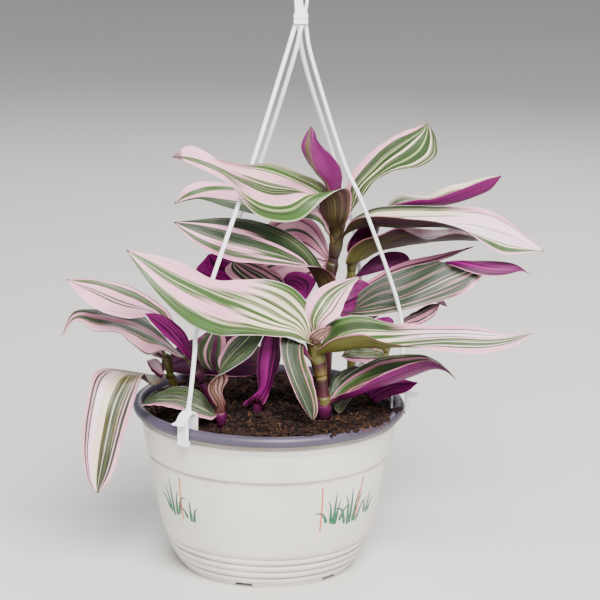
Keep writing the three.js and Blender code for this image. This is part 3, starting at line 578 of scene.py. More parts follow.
# Each leaf leaves its stem at a share of the stem's length. Its middle line runs through the points to
# its tip. Its upper side looks up, or the way that face says.
#
# A swept leaf has a width, how far its halves curl up in degrees at the base and the tip (cup), where it
# is widest (belly) and how far its margins ripple (wave). Any other leaf has the points of its far and
# near margins instead.
#
# bands are the stripes across the upper side, from the margin on its right as seen along the leaf.
# base_bands take their place in the lower half, and tip_bands beyond tip_start. under names the underside,
# or under_bands are the stripes across it. sheath names the sheath's shade, neck is the length of the
# olive part over it, pale_lines the strength of the thin pale lines, and dry_tip where the brown tip starts.
LEAVES = {
    # from the tall stem
    "leaf_top_left": dict(
        stem="stem_tall", at=0.94,
        through=[
            (35, 10, 231), (30, 4, 244), (18, -6, 251), (-1, -30, 257),
            (-18, -39, 265), (-36, -44, 275), (-51, -45, 280)],
        tip=(-62, -46, 280),
        far=[
            (44, 26, 226), (37, 26, 248), (20, -4, 263), (1, -22, 273),
            (-16, -38, 274), (-32, -44, 278), (-46, -40, 285), (-54, -43, 286)],
        near=[
            (50, 6, 231), (52, 2, 248), (47, -2, 254), (34, -10, 248), (18, -20, 236),
            (-1, -34, 238), (-15, -43, 248), (-28, -48, 264), (-51, -49, 276)],
        bands="p1 G5 p1 G2 C1 P6 G1 D4 C.6 D2 C1 P5 C.6 D1 C.6 G6", under="plum",
        tip_bands="P4 G4 P8", tip_start=0.62, dry_tip=0.95),
    "leaf_upper_left": dict(
        stem="stem_tall", at=0.88,
        through=[(33, 14, 235), (12, 13, 240), (-14, 12, 246), (-37, 12, 247), (-53, 12, 244)],
        tip=(-64, 12, 239),
        far=[(39, 26, 237), (19, 28, 241), (-8, 26, 247), (-33, 22, 252), (-47, 18, 253), (-57, 14, 249)],
        near=[(31, 8, 229), (12, 2, 233), (-14, 0, 236), (-33, 4, 240), (-48, 8, 244)],
        bands="D3 P5 G3 P3"),
    "leaf_dark_left": dict(
        stem="stem_tall", at=0.6,
        through=[
            (33, 10, 183), (29, 6, 193), (21, -2, 204), (6, -10, 214),
            (-13, -18, 222), (-36, -24, 229), (-52, -27, 233)],
        tip=(-62, -28, 235),
        far=[
            (39, 18, 188), (34, 14, 198), (24, 8, 212), (9, 0, 225),
            (-11, -8, 233), (-30, -16, 236), (-49, -24, 236)],
        near=[
            (44, 8, 184), (42, 4, 194), (33, -4, 201), (18, -14, 204),
            (-6, -24, 208), (-25, -32, 211), (-42, -36, 219), (-55, -33, 228)],
        bands="R1.5 D3 P2 K1 D10 K1 P2.5 K4 D7 K3", under="plum",
        tip_bands="R2 D3 P3 K8 P3 K9"),
    "leaf_bud": dict(
        stem="stem_tall", at=1, face=[BACK],
        through=[(39, 12, 252), (31, 8, 264), (27, 8, 275), (26, 10, 284)],
        tip=(25, 12, 292),
        far=[(46, 18, 254), (45, 18, 263), (40, 16, 271), (32, 13, 280), (28, 12, 287)],
        near=[(35, 15, 252), (29, 14, 260), (23, 13, 268), (19, 12, 276), (20, 12, 283)],
        bands="P3 G2 P3", under_bands="V11 O.5 V1 O2.5 V3"),
    "leaf_top_right": dict(
        stem="stem_tall", at=0.99, face=[FRONT_UP],
        through=[(53, 24, 238), (58, 24, 251), (72, 26, 266), (85, 28, 276), (97, 30, 285)],
        tip=(102, 30, 292),
        far=[(49, 32, 239), (52, 34, 255), (68, 36, 273), (84, 36, 284), (96, 34, 289)],
        near=[
            (58, 18, 242), (66, 16, 253), (74, 16, 259), (85, 14, 264),
            (97, 12, 266), (107, 14, 272), (108, 20, 280), (106, 26, 287)],
        bands="P7 D7 p1 D3 C1.5 D4 p1 D3 C1 D3", under="dark"),
    "leaf_right_arch": dict(
        stem="stem_tall", at=0.88,
        through=[
            (49, 14, 220), (64, 13, 226), (85, 12, 226), (104, 12, 227),
            (121, 12, 227), (137, 11, 225), (157, 10, 219)],
        tip=(180, 10, 211),
        far=[
            (52, 28, 225), (63, 30, 233), (76, 32, 236), (106, 34, 236),
            (132, 32, 236), (149, 28, 233), (167, 20, 221)],
        near=[
            (51, 4, 230), (65, 0, 235), (87, 0, 234), (110, -2, 232),
            (126, -5, 227), (139, -4, 218), (153, 0, 211), (170, 6, 211)],
        bands="K1 D1 C2 G.7 B9 G2 B2 G1 B3 P1", under="olive", tip_bands="P3 G.5 B8 G.5 B9 G1 C1 G4 P2"),
    "leaf_backlit": dict(
        stem="stem_tall", at=0.78, face=[FRONT],
        through=[(34, 28, 202), (22, 33, 209), (9, 37, 207), (-5, 39, 195)],
        tip=(-14, 40, 182),
        far=[(37, 30, 211), (30, 34, 223), (19, 38, 229), (7, 42, 227), (-5, 42, 216)],
        near=[(34, 24, 190), (22, 28, 181), (8, 32, 177), (-6, 36, 179)],
        bands="R1.5 M.6 P2 R1 Y.8 P2 M.6 R2 Y.8 P2 M.5 R1 P1"),
    "leaf_magenta_inner": dict(
        stem="stem_tall", at=0.55, face=[BACK],
        through=[(50, 18, 173), (58, 22, 176), (65, 25, 177)],
        tip=(72, 26, 173),
        far=[(47, 20, 181), (54, 24, 187), (62, 27, 186), (69, 27, 181)],
        near=[(49, 17, 162), (57, 20, 163), (65, 23, 167), (71, 25, 170)],
        under="vivid"),

    # from the tall stem on the right
    "leaf_right_high": dict(
        stem="stem_tall_right", at=0.99,
        through=[
            (60, 31, 202), (64, 33, 209), (69, 37, 217), (75, 40, 229), (87, 42, 235),
            (106, 44, 234), (123, 47, 236), (137, 49, 240), (147, 51, 245)],
        tip=(155, 52, 254),
        far=[
            (63, 40, 201), (68, 46, 206), (72, 52, 214), (78, 55, 230), (87, 56, 239),
            (97, 58, 239), (107, 58, 239), (119, 57, 245), (131, 56, 248), (143, 54, 252)],
        near=[
            (51, 27, 204), (51, 27, 211), (56, 28, 219), (64, 30, 228), (75, 32, 234), (86, 33, 238),
            (96, 35, 240), (107, 38, 240), (118, 41, 243), (130, 45, 247), (144, 49, 252)],
        bands="C1 G3 P1 G2 P3 G2", under="vivid"),
    "leaf_olive_right": dict(
        stem="stem_tall_right", at=0.93,
        through=[(60, 30, 198), (69, 29, 205), (82, 28, 209), (100, 26, 212), (120, 25, 215)],
        tip=(141, 24, 215),
        far=[(61, 40, 203), (73, 42, 211), (87, 44, 219), (104, 44, 218), (120, 42, 219), (133, 36, 219)],
        near=[
            (50, 25, 197), (52, 21, 207), (60, 17, 215), (72, 14, 220), (83, 12, 225),
            (90, 10, 223), (102, 10, 218), (112, 12, 220), (122, 14, 222), (133, 18, 219)],
        bands="P2 D3 P3 O2", under="fan"),
    "leaf_magenta_right": dict(
        stem="stem_tall_right", at=0.8, face=[BACK],
        through=[(60, 44, 187), (71, 46, 193), (83, 48, 195), (92, 48, 194)],
        tip=(97, 48, 189),
        far=[(60, 46, 188), (69, 48, 197), (81, 50, 201), (92, 50, 199)],
        near=[(62, 44, 185), (73, 44, 188), (85, 46, 191), (93, 46, 190)],
        under="vivid"),
    "leaf_thin_right": dict(
        stem="stem_tall_right", at=0.72, width=8, belly=0.5, cup=(40, 20), wave=0,
        through=[(88, 42, 191), (114, 40, 199)], tip=(137, 38, 208), face=[FRONT_UP, FRONT_UP],
        bands="R3 M1 O1 R2 M1"),
    "leaf_grey_right": dict(
        stem="stem_tall_right", at=0.62,
        through=[
            (56, 20, 168), (70, 16, 177), (89, 14, 184), (107, 12, 194),
            (122, 12, 201), (138, 10, 204), (159, 10, 202)],
        tip=(173, 10, 194),
        far=[
            (53, 24, 169), (61, 22, 180), (76, 22, 190), (94, 22, 197), (110, 20, 201),
            (120, 6, 201), (131, 2, 198), (141, 2, 196), (154, 4, 196), (166, 8, 198)],
        near=[
            (53, 10, 166), (70, 6, 167), (89, 4, 171), (109, 4, 177), (126, 2, 183),
            (135, 4, 190), (141, 12, 194), (153, 16, 198), (166, 14, 197)],
        bands="K1 Y5 R.3 Y5 K2 R.3 Y6 R.25 Y4 K2 R.25 K3 R.4",
        tip_bands="R1 Y4 R.6 Y6 R.4 Y6 R.6 Y3 R1"),
    "leaf_back_right": dict(
        stem="stem_tall_right", at=0.46, width=31, cup=(55, 18), wave=1,
        through=[(92, 70, 168)], tip=(126, 104, 150), face=[UP, BACK_UP],
        bands="Y3 P1 G3 C.8 Y3 P1.5"),

    # from the low stem on the right
    "leaf_under_grey": dict(
        stem="stem_right", at=0.9, face=[(-0.4, -0.7, 0.5)],
        through=[(90, 12, 161), (98, 14, 164), (107, 14, 169)],
        tip=(113, 14, 174),
        far=[(88, 18, 161), (96, 18, 167), (105, 17, 172)],
        near=[(93, 10, 159), (101, 10, 161), (109, 12, 166)],
        bands="Y4 R.5 Y2 R3 Y2 R2 M1", under="dark"),
    "leaf_magenta_small": dict(
        stem="stem_right", at=1, width=10, belly=0.5, cup=(50, 20), wave=0,
        through=[(76, -5, 165)], tip=(68, -10, 168), face=[BACK, BACK], under="lit"),
    "leaf_pink_right": dict(
        stem="stem_right", at=0.7, face=[(0, -0.8, 0.5)],
        through=[(74, 2, 141), (64, -2, 143), (56, -5, 144)],
        tip=(47, -6, 142),
        far=[(75, 6, 144), (66, 2, 148), (57, -2, 148), (50, -5, 146)],
        near=[(74, 0, 138), (64, -5, 138), (54, -7, 139)],
        bands="R2 M1 D3 O1 D3 R.5 D2"),
    "leaf_low_magenta": dict(
        stem="stem_right", at=0.3, face=[(0, 0.7, 0.7)],
        through=[(68, -6, 114), (78, -14, 122), (87, -20, 126)],
        tip=(97, -24, 130),
        far=[(64, -2, 114), (69, -8, 123), (78, -14, 129), (88, -20, 131)],
        near=[(71, -10, 112), (79, -18, 118), (88, -24, 123), (93, -25, 126)],
        bands="P3 O2 P2", under="lit"),

    # from the front stem
    "leaf_front_left": dict(
        stem="stem_front", at=0.91,
        through=[
            (19, -46, 169), (3, -54, 178), (-16, -62, 188),
            (-37, -70, 198), (-59, -76, 210), (-75, -78, 220)],
        tip=(-89, -76, 227),
        far=[
            (27, -38, 173), (23, -38, 186), (13, -42, 197), (-2, -48, 203),
            (-19, -54, 204), (-36, -62, 206), (-55, -70, 218), (-71, -74, 223)],
        near=[
            (26, -52, 162), (10, -62, 169), (-12, -74, 173), (-34, -84, 176),
            (-52, -90, 186), (-65, -90, 198), (-77, -85, 211)],
        bands="G5 C.4 G1.5 P6 G5 C.5 G3.5 C.4 G1 P10", under="dark",
        base_bands="C.5 D3 G8 C5 G2.5 C3 G3 C3 G3 C3 G2.5 C3 G2 C2.5 G4",
        tip_bands="G5 C.3 P4.5 G3 C.4 G4 C.3 G1 P13"),
    "leaf_front_right": dict(
        stem="stem_front", at=0.86,
        through=[
            (35, -46, 155), (45, -51, 158), (57, -55, 162), (72, -60, 164),
            (107, -61, 168), (132, -60, 168), (151, -58, 169)],
        tip=(166, -56, 172),
        far=[
            (37, -34, 170), (46, -36, 176), (57, -38, 178), (75, -42, 175),
            (99, -44, 174), (124, -46, 174), (146, -50, 171)],
        near=[
            (33, -52, 160), (39, -58, 167), (48, -62, 171), (59, -66, 173), (70, -70, 170),
            (100, -73, 165), (119, -74, 163), (138, -72, 163), (154, -66, 166)],
        bands="P4 G1 B3 G1 B3 Y1 B1 G4 B1 G4 B1 G2 P6", under="green",
        base_bands="G1.5 D1.5 G1 C1 G1.5 C2 G2 C2 D1.5 G1.5 C2 G1 C2"),
    "leaf_upright_small": dict(
        stem="stem_front", at=1, face=[FRONT],
        through=[(29, -42, 172), (34, -40, 183), (42, -35, 192)],
        tip=(57, -28, 201),
        far=[(24, -38, 173), (22, -40, 181), (26, -40, 191), (39, -35, 199)],
        near=[(35, -48, 173), (44, -44, 179), (48, -38, 188), (52, -33, 195)],
        bands="P4 G2.5 C1 G2.5 C.6 G1 P1.5 G1 P4"),
    "leaf_small_bud": dict(
        stem="stem_front", at=1, face=[BACK],
        through=[(28, -49, 164), (32, -51, 168)],
        tip=(39, -52, 174),
        far=[(25, -49, 167), (29, -50, 171), (34, -51, 173)],
        near=[(32, -50, 163), (36, -52, 167)],
        bands="P2 M1 P2", under="beige"),
    "leaf_hanging_front": dict(
        stem="stem_front", at=0.8, face=[FRONT],
        through=[(17, -50, 163), (15, -54, 155), (19, -58, 142), (25, -60, 128)],
        tip=(28, -61, 114),
        far=[(22, -48, 161), (22, -50, 155), (27, -54, 142), (30, -57, 129), (31, -60, 120)],
        near=[(9, -50, 167), (7, -56, 158), (12, -60, 143), (18, -61, 129), (24, -61, 119)],
        bands="R.8 O1 D1.6 R.5 O.8 K3 Y3 C.2 K3 R.6", sheath="ring", pale_lines=0.12),
    "leaf_low_right": dict(
        stem="stem_front", at=0.36,
        through=[
            (46, -40, 122), (58, -42, 128), (74, -43, 134),
            (90, -42, 139), (104, -40, 144), (114, -38, 142)],
        tip=(121, -36, 135),
        far=[
            (41, -30, 126), (51, -26, 135), (67, -22, 144),
            (85, -22, 148), (99, -26, 149), (111, -32, 145)],
        near=[
            (44, -46, 127), (55, -50, 132), (69, -53, 142),
            (85, -52, 149), (99, -48, 151), (109, -42, 147)],
        bands="D1 R.6 G2 O1 R.5 O1 G1 p.5 R.5 G2 O1 R.8 G2 p.5 C.6 G2", under="vivid", sheath="magenta"),
    "leaf_low_dark": dict(
        stem="stem_front", at=0.44, face=[FRONT],
        through=[(41, -36, 120), (45, -30, 127), (51, -26, 134)],
        tip=(61, -22, 139),
        far=[(38, -34, 122), (40, -26, 131), (47, -22, 137), (54, -20, 139)],
        near=[(45, -34, 112), (52, -28, 117), (58, -25, 126), (62, -23, 133)],
        bands="D3 Y2 D3 O1 D3 Y2 D3", under="dark"),

    # from the stems on the left
    "leaf_left_high": dict(
        stem="stem_left", at=0.98,
        through=[(-68, -28, 171), (-80, -31, 180), (-96, -34, 187), (-112, -36, 194)],
        tip=(-130, -34, 198),
        far=[(-64, -20, 171), (-71, -20, 179), (-84, -22, 189), (-100, -24, 195), (-117, -30, 198)],
        near=[
            (-59, -30, 157), (-68, -34, 166), (-67, -34, 169), (-76, -40, 176),
            (-90, -46, 176), (-106, -48, 181), (-119, -44, 188)],
        bands="P8 D1.2 P1 D1.2 P5 O1 D2.4 p.6 D1.5 O1 P3 D1.2 P1"),
    "leaf_left_middle": dict(
        stem="stem_left", at=0.9,
        through=[(-71, -26, 157), (-84, -28, 165), (-98, -28, 169), (-112, -28, 172), (-125, -30, 173)],
        tip=(-134, -32, 160),
        far=[
            (-62, -14, 149), (-73, -16, 161), (-87, -18, 171),
            (-103, -20, 175), (-115, -24, 177), (-127, -28, 175)],
        near=[
            (-67, -34, 152), (-78, -40, 151), (-88, -40, 158),
            (-97, -38, 165), (-111, -36, 165), (-124, -34, 171)],
        bands="D.6 P4 O1 D3 O1 P4 O1 D4 O1 P1.5"),
    "leaf_left_folded": dict(
        stem="stem_left", at=0.86, face=[BACK],
        through=[(-55, -44, 159), (-62, -48, 169), (-70, -50, 176)],
        tip=(-79, -52, 181),
        far=[(-53, -42, 164), (-61, -46, 174), (-69, -50, 180)],
        near=[(-57, -46, 156), (-66, -50, 165), (-73, -52, 173)],
        under="lit"),
    "leaf_striped_behind": dict(
        stem="stem_left", at=0.78, face=[FRONT],
        through=[(-37, -18, 134), (-40, -14, 141), (-39, -12, 150)],
        tip=(-35, -10, 163),
        far=[(-31, -14, 133), (-30, -10, 142), (-29, -8, 153)],
        near=[(-43, -20, 134), (-49, -18, 143), (-49, -14, 153)],
        bands="M2 D3 P1 D2 M2 D2 R2"),
    "leaf_left_behind": dict(
        stem="stem_left_short", at=0.92, width=20, belly=0.6, cup=(30, 15), wave=0,
        through=[(-92, 0, 162)], tip=(-117, 0, 177), face=[FRONT_UP, (0, -0.8, 0.6)],
        bands="P2 Y2 P1 Y2"),
    "leaf_drooping": dict(
        stem="stem_left_short", at=0.66, face=[(-0.4, -0.7, 0.5)],
        through=[(-79, -18, 128), (-91, -36, 135), (-100, -47, 121), (-105, -54, 98), (-109, -58, 72)],
        tip=(-109, -58, 63),
        far=[(-88, -10, 131), (-110, -24, 136), (-116, -40, 125), (-119, -50, 96), (-116, -57, 74)],
        near=[(-76, -24, 126), (-81, -36, 137), (-85, -44, 125), (-93, -50, 97), (-100, -56, 75)],
        bands="P4 Y2.5 P1 Y3 O1 Y3 C.6 Y2 O2 C5 B4 Y1 P1 Y1.2 P2", under="plum", neck=0.5),
    "leaf_left_small": dict(
        stem="stem_left_short", at=0.97, face=[FRONT_UP],
        through=[(-70, -12, 132), (-75, -15, 136)],
        tip=(-80, -18, 141),
        far=[(-68, -10, 135), (-74, -13, 141)],
        near=[(-70, -14, 128), (-77, -18, 134)],
        bands="M2 P1 B4", under="lit"),

    # from the short stems in front
    "leaf_on_soil": dict(
        stem="stem_low_front", at=0.97,
        through=[(-35, -56, 115), (-44, -57, 121), (-57, -54, 125), (-70, -50, 124)],
        tip=(-83, -44, 118),
        far=[(-36, -48, 118), (-44, -44, 127), (-57, -40, 130), (-71, -40, 126)],
        near=[(-36, -60, 114), (-47, -64, 118), (-59, -62, 122), (-72, -54, 122)],
        bands="R2 G.6 R1 Y6 p.4 Y4 D5"),
    "leaf_twisted": dict(
        stem="stem_low_front", at=1, face=[FRONT],
        through=[(-30, -57, 125), (-34, -60, 134), (-32, -60, 143), (-26, -58, 153), (-16, -56, 164)],
        tip=(-3, -54, 177),
        far=[
            (-27, -54, 122), (-30, -56, 131), (-26, -54, 140),
            (-33, -50, 147), (-31, -48, 155), (-23, -50, 166)],
        near=[
            (-34, -60, 124), (-39, -64, 135), (-36, -66, 142),
            (-23, -66, 150), (-11, -64, 158), (-5, -60, 168)],
        bands="P3 D3 Y3 p.5 Y3 D5 Y2", under="beige"),
    "leaf_upright_magenta": dict(
        stem="stem_middle", at=1, face=[BACK],
        through=[(-8, -38, 122), (-3, -42, 132), (-2, -44, 146), (0, -44, 159)],
        tip=(2, -42, 176),
        far=[(-3, -40, 119), (1, -38, 129), (6, -37, 144), (7, -38, 158)],
        near=[(-17, -36, 117), (-8, -38, 126), (-8, -40, 143), (-6, -41, 158)],
        under="bright"),

    # from the rear stem
    "leaf_magenta_left": dict(
        stem="stem_rear", at=0.95, face=[(-0.3, 0.8, 0.4)],
        through=[(-6, 28, 189), (-20, 20, 195), (-33, 12, 201)],
        tip=(-41, 6, 207),
        far=[(-6, 34, 196), (-21, 28, 204), (-32, 18, 207)],
        near=[(-8, 24, 181), (-23, 14, 183), (-37, 6, 190), (-49, 2, 197)],
        under="lit"),
    "leaf_striped_left": dict(
        stem="stem_rear", at=0.76, face=[(0.2, -0.8, 0.5)],
        through=[(10, 20, 176), (-2, 12, 187), (-14, 4, 196)],
        tip=(-25, -4, 205),
        far=[(9, 26, 184), (-2, 18, 196), (-15, 8, 204)],
        near=[(4, 14, 175), (-9, 4, 181), (-21, -4, 190), (-30, -6, 199)],
        bands="P2 Y1.5 C.4 Y1.5 P1.5 Y1.2 C.3 Y1.2 P1.5 Y1 P2"),
    "leaf_magenta_middle": dict(
        stem="stem_rear", at=0.99, face=[BACK],
        through=[(8, 26, 184), (16, 24, 186), (22, 24, 182)],
        tip=(24, 24, 173),
        far=[(10, 26, 189), (20, 24, 192), (30, 24, 187), (28, 24, 180)],
        near=[(4, 26, 184), (9, 24, 182), (14, 24, 179), (20, 24, 175)],
        under="lit"),
    "leaf_back_left": dict(
        stem="stem_rear", at=0.9, width=34, cup=(60, 15), wave=2,
        through=[(-10, 62, 176)], tip=(-22, 100, 160), face=[UP, BACK_UP],
        bands="P5 G2 B3 G2 C1 G2"),
    "leaf_back_middle": dict(
        stem="stem_rear", at=0.7, width=34, cup=(60, 15), wave=1,
        through=[(24, 72, 160)], tip=(40, 116, 140), face=[UP, BACK_UP],
        bands="D3 P1 G3 C1 G3 P2"),
    "leaf_back_low": dict(
        stem="stem_rear", at=0.5, face=[(0, 0.9, 0.3)],
        through=[(-9, 38, 126), (-23, 44, 129), (-39, 50, 128), (-58, 56, 123)],
        tip=(-76, 58, 114),
        far=[(-7, 40, 136), (-22, 48, 141), (-42, 54, 139), (-62, 58, 132)],
        near=[(-9, 36, 119), (-21, 42, 114), (-41, 48, 113), (-59, 54, 112)],
        bands="P4 Y2 P2 D3 P2", under="dark"),
}

PLAIN_BANDS = "P3 G2 P3"  # for leaves whose upper side hardly shows
LEAF_ROWS = 52
LEAF_COLUMNS = 24
LEAF_THICKNESS = 0.7
LEAF_BELLY = 0.42
SHEATH_ROWS = 6
SHEATH_LENGTH = 9
SHORTEST_SHEATH = 1.5
CLEAR_OF_ROOT = 8  # a sheath stays this far over the foot of its stem
SHEATH_LAYER = 0.22  # a sheath round others is wider by this for each of them
SHEATH_TURN = math.radians(168)  # each half of a sheath goes this far round its stem
OPENING = 0.09  # the share of a leaf over which its sheath opens into the blade


def leaf_spread(t, belly):
    """The share of the full half width at t along the leaf: broad from the base, then a long taper."""
    if t < belly:
        return (1 - (1 - t / belly) ** 2.2) ** 0.6
    return 1 - ((t - belly) / (1 - belly)) ** 1.9


def outside_ranks(stem_name):
    """How many sheaths of leaves just above it each of a stem's leaves goes round."""
    length = STEM_LINES[stem_name].length
    rows = {name: leaf["at"] * length for name, leaf in LEAVES.items() if leaf["stem"] == stem_name}
    reach = SHEATH_LENGTH + 3
    order = sorted(rows, key=lambda name: -rows[name])
    return {
        name: sum(1 for other in order[:i] if rows[other] - rows[name] < reach)
        for i, name in enumerate(order)
    }


SHEATH_RANKS = {name: rank for stem in STEMS for name, rank in outside_ranks(stem).items()}


class Blade:
    """One leaf as a sheet: a closed sheath round the stem that opens into the blade."""

    def __init__(self, name):
        leaf = LEAVES[name]
        self.leaf = leaf
        self.stem = STEM_LINES[leaf["stem"]]
        self.root = leaf["at"]
        self.ring = STEMS[leaf["stem"]]["radius"] * 0.93 + 0.35 + SHEATH_LAYER * SHEATH_RANKS[name]
        start = self.stem.at(self.root)
        first = Vector(leaf["through"][0])
        self.outward = square_to(first - start, self.stem.along(self.root))
        self.base = start + self.outward * self.ring
        self.middle = Line([self.base, *leaf["through"], leaf["tip"]])
        self.faces = [Vector(face).normalized() for face in leaf.get("face", [UP])]
        self.margins = None
        if "far" in leaf:
            self.margins = [Line([self.base, *leaf[side], leaf["tip"]]) for side in ("near", "far")]
            across = self.margins[1].at(0.5) - self.margins[0].at(0.5)
            if across.cross(self.middle.along(0.5)).dot(mixed(self.faces, 0.5)) < 0:
                self.margins.reverse()

    def sheath(self, rise, s):
        """A point of the sheath, rise millimetres over the leaf's place on the stem."""
        share = self.root + rise / self.stem.length
        along = self.stem.along(self.root)
        axis = self.stem.at(share) + along * max(0, share - 1) * self.stem.length
        out = square_to(self.outward, along)
        side = along.cross(-out)
        angle = s * SHEATH_TURN
        snug = STEMS[self.leaf["stem"]]["radius"] * 0.92
        reach = lerp(snug, self.ring, smooth(-SHEATH_LENGTH, -1, rise))
        return axis + (out * math.cos(angle) + side * math.sin(angle)) * reach

    def swept(self, t, s):
        """A point at t along a swept blade and s across it, from -1 to 1."""
        leaf = self.leaf
        along = self.middle.along(t)
        up = square_to(mixed(self.faces, t), along)
        side = along.cross(up)
        half = leaf["width"] / 2 * leaf_spread(t, leaf.get("belly", LEAF_BELLY))
        curl = math.radians(lerp(*leaf["cup"], t**0.7))
        radius = half / curl
        ripple = leaf["wave"] * s * s * math.sin(math.pi * t) * math.sin(math.tau * (1.6 * t + 0.3 * s))
        rise = radius * (1 - math.cos(curl * s)) + ripple
        return self.middle.at(t) + side * radius * math.sin(curl * s) + up * rise

    def railed(self, t, s):
        """A point of a blade that runs between two margins and through its middle line."""
        low, high = (margin.at(t) for margin in self.margins)
        middle = self.middle.at(t)
        return middle + (high - low) / 2 * s + ((high + low) / 2 - middle) * s * s

    def point(self, t, s):
        if t <= 0:
            return self.sheath(t, s)
        blade = self.railed(t, s) if self.margins else self.swept(t, s)
        if t >= OPENING:
            return blade
        rise = t * self.middle.length * 0.5
        return self.sheath(rise, s).lerp(blade, smooth(0, OPENING, t))

    def rows(self):
        """Where the rows lie: millimetres below 0 on the sheath, and shares above it on the blade."""
        length = max(SHORTEST_SHEATH, min(SHEATH_LENGTH, self.root * self.stem.length - CLEAR_OF_ROOT))
        low = [-length * (1 - j / SHEATH_ROWS) for j in range(SHEATH_ROWS)]
        return low + [j / LEAF_ROWS for j in range(LEAF_ROWS)]


def leaf_shell(name):
    """A leaf's closed thin shell: vertices, faces, their sides and places on the blade.

    The sides are 0 above, 1 below and 2 on the sheath.
    """
    blade = Blade(name)
    rows = blade.rows()
    shares = [math.sin(math.pi / 2 * (2 * i / LEAF_COLUMNS - 1)) for i in range(LEAF_COLUMNS + 1)]
    shares = [lerp(2 * i / LEAF_COLUMNS - 1, share, 0.5) for i, share in enumerate(shares)]
    sheet = [[blade.point(t, s) for s in shares] for t in rows]
    seed = sum(map(ord, name)) * 0.37
    vertices, places = [], []
    for j, t in enumerate(rows):
        before, after = sheet[max(0, j - 1)], sheet[min(len(rows) - 1, j + 1)]
        body = smooth(0.02, 0.2, t) * (1 - smooth(0.9, 1, t))
        upper, lower = [], []
        for i, s in enumerate(shares):
            along = after[i] - before[i]
            across = sheet[j][min(i + 1, LEAF_COLUMNS)] - sheet[j][max(i - 1, 0)]
            normal = across.cross(along).normalized()
            point = sheet[j][i].copy()
            # Soft unevenness all over, ruffles near the margins and a groove along the middle.
            uneven = noise.noise(Vector((s * 1.3, t * 5, seed))) * 1.1
            ruffle = noise.noise(Vector((s * 2, t * 14, seed + 9))) * 0.7 * abs(s) ** 3
            groove = -0.5 * math.exp(-((s / 0.07) ** 2))
            point += normal * body * (uneven + ruffle + groove)
            thickness = LEAF_THICKNESS / 2 * math.sqrt(max(0, 1 - s**8)) * (1 - 0.4 * max(0, t))
            thickness *= lerp(0.3, 1, smooth(-SHEATH_LENGTH, -2, min(0, t)))
            place = ((s + 1) / 2, max(-0.15, t if t > 0 else t / 60))
            upper.append((point + normal * thickness, place))
            if 0 < i < LEAF_COLUMNS:
                lower.append((point - normal * thickness, place))
        for point, place in upper + lower[::-1]:
            vertices.append(point)
            places.append(place)
    ring = 2 * LEAF_COLUMNS
    tip = len(vertices)
    vertices.append(Vector(blade.leaf["tip"]))
    places.append((0.5, 1))
    faces = grid_faces(len(rows), ring)
    below = [2 if face[0] < SHEATH_ROWS * ring else int(face[0] % ring >= LEAF_COLUMNS) for face in faces]
    for i in range(ring):
        faces.append((tip - ring + i, tip - ring + (i + 1) % ring, tip))
        below.append(int(i >= LEAF_COLUMNS))
    for i in range(LEAF_COLUMNS):
        under, next_under = (ring - i) % ring, ring - i - 1
        corners = dict.fromkeys((i, under, next_under, i + 1))
        faces.append(tuple(corners))
        below.append(2)
    return vertices, faces, below, places


def make_leaf(name, seed):
    leaf = LEAVES[name]
    upper = upper_finish(name + "_upper", leaf, seed)
    under = UNDERSIDES[leaf.get("under", "magenta")]
    if "under_bands" in leaf:
        under = upper_finish(name + "_under", {"bands": leaf["under_bands"]}, seed + 1)
    vertices, faces, below, places = leaf_shell(name)
    sheath = SHEATHS[leaf.get("sheath", STEMS[leaf["stem"]]["kind"])]
    piece = mesh_piece(name + "_blade", vertices, faces, [upper, under, sheath], [name])
    piece.data.polygons.foreach_set("material_index", below)
    add_blade_map(piece.data, places)
    for edge in piece.data.edges:
        a, b = (index % (2 * LEAF_COLUMNS) for index in edge.vertices)
        edge.use_edge_sharp = a == b and a in (0, LEAF_COLUMNS)


# ---------- pot ----------

# Brownish dust, which also paints shade in the pot's steps and grooves.
DUST_AND_SHADE = colour(150, 128, 108)
POT_SEGMENTS = 216
NOTCH_WIDTH = 12
RIB_STEP = (RIB_TOP - FOOT_HEIGHT) / RIB_COUNT
GROOVES = [FOOT_HEIGHT + rib * RIB_STEP for rib in range(1, RIB_COUNT + 1)]
WALL_FOOT = RIB_TOP + 3.6
WALL_TOP = 76.5
WALL_FOOT_RADIUS = BELLY_RADIUS + 1.7
WALL_TOP_RADIUS = 80.1

# Brownish lines of dust and painted shade: dust with painted shade in the steps under the collar and under
# the rim, and painted shade in the grooves between the ribs.
DUST_AND_SHADE_LINES = [(COLLAR_FOOT - 3, COLLAR_FOOT - 0.8, COLLAR_FOOT + 0.6), (98, 103, 104)]
DUST_AND_SHADE_LINES += [(groove - 1, groove, groove + 1.2) for groove in GROOVES]


def plastic_finish(name, base, cloud, speck, roughness, specks=0.5, dust_and_shade=()):
    """Matt moulded plastic: faint clouding, small dark specks and a fine uneven surface.

    Each line of dust and painted shade has the heights in millimetres where it starts, is strongest and ends.
    """
    finish = Finish(name, roughness=roughness)
    place = finish.place()
    clouds = finish.grain(place, 18, 4, 0.6)
    shade = finish.mix(base, cloud, clouds.between(0.35, 0.7))
    fine = finish.grain(place, 420, 3, 0.7)
    shade = finish.mix(shade, cloud, fine.between(0.4, 0.7) * 0.35)
    dots = finish.cells(place, 620).between(0.16, 0.08)
    patches = finish.grain(place, 190, 2).between(0.5, 0.62)
    shade = finish.mix(shade, speck, dots * patches * specks)
    _, _, height = finish.split(place)
    # Dust and painted shade darken bands at the heights of the steps and grooves.
    for low, middle, high in dust_and_shade:
        line = height.between(low * MM, middle * MM) * height.between(high * MM, middle * MM)
        shade = finish.mix(shade, DUST_AND_SHADE, line * clouds.between(0.2, 0.6) * 0.7)
    return finish.made(shade, clouds * 0.12 + (roughness - 0.06), fine, 0.0002, 0.35)


def arc_profile(centre, radius, start, stop, steps):
    """Points along an arc from one angle in degrees to another."""
    points = []
    for i in range(steps + 1):
        x, y = polar(radius, math.radians(lerp(start, stop, i / steps)))
        points.append((centre[0] + x, centre[1] + y))
    return points


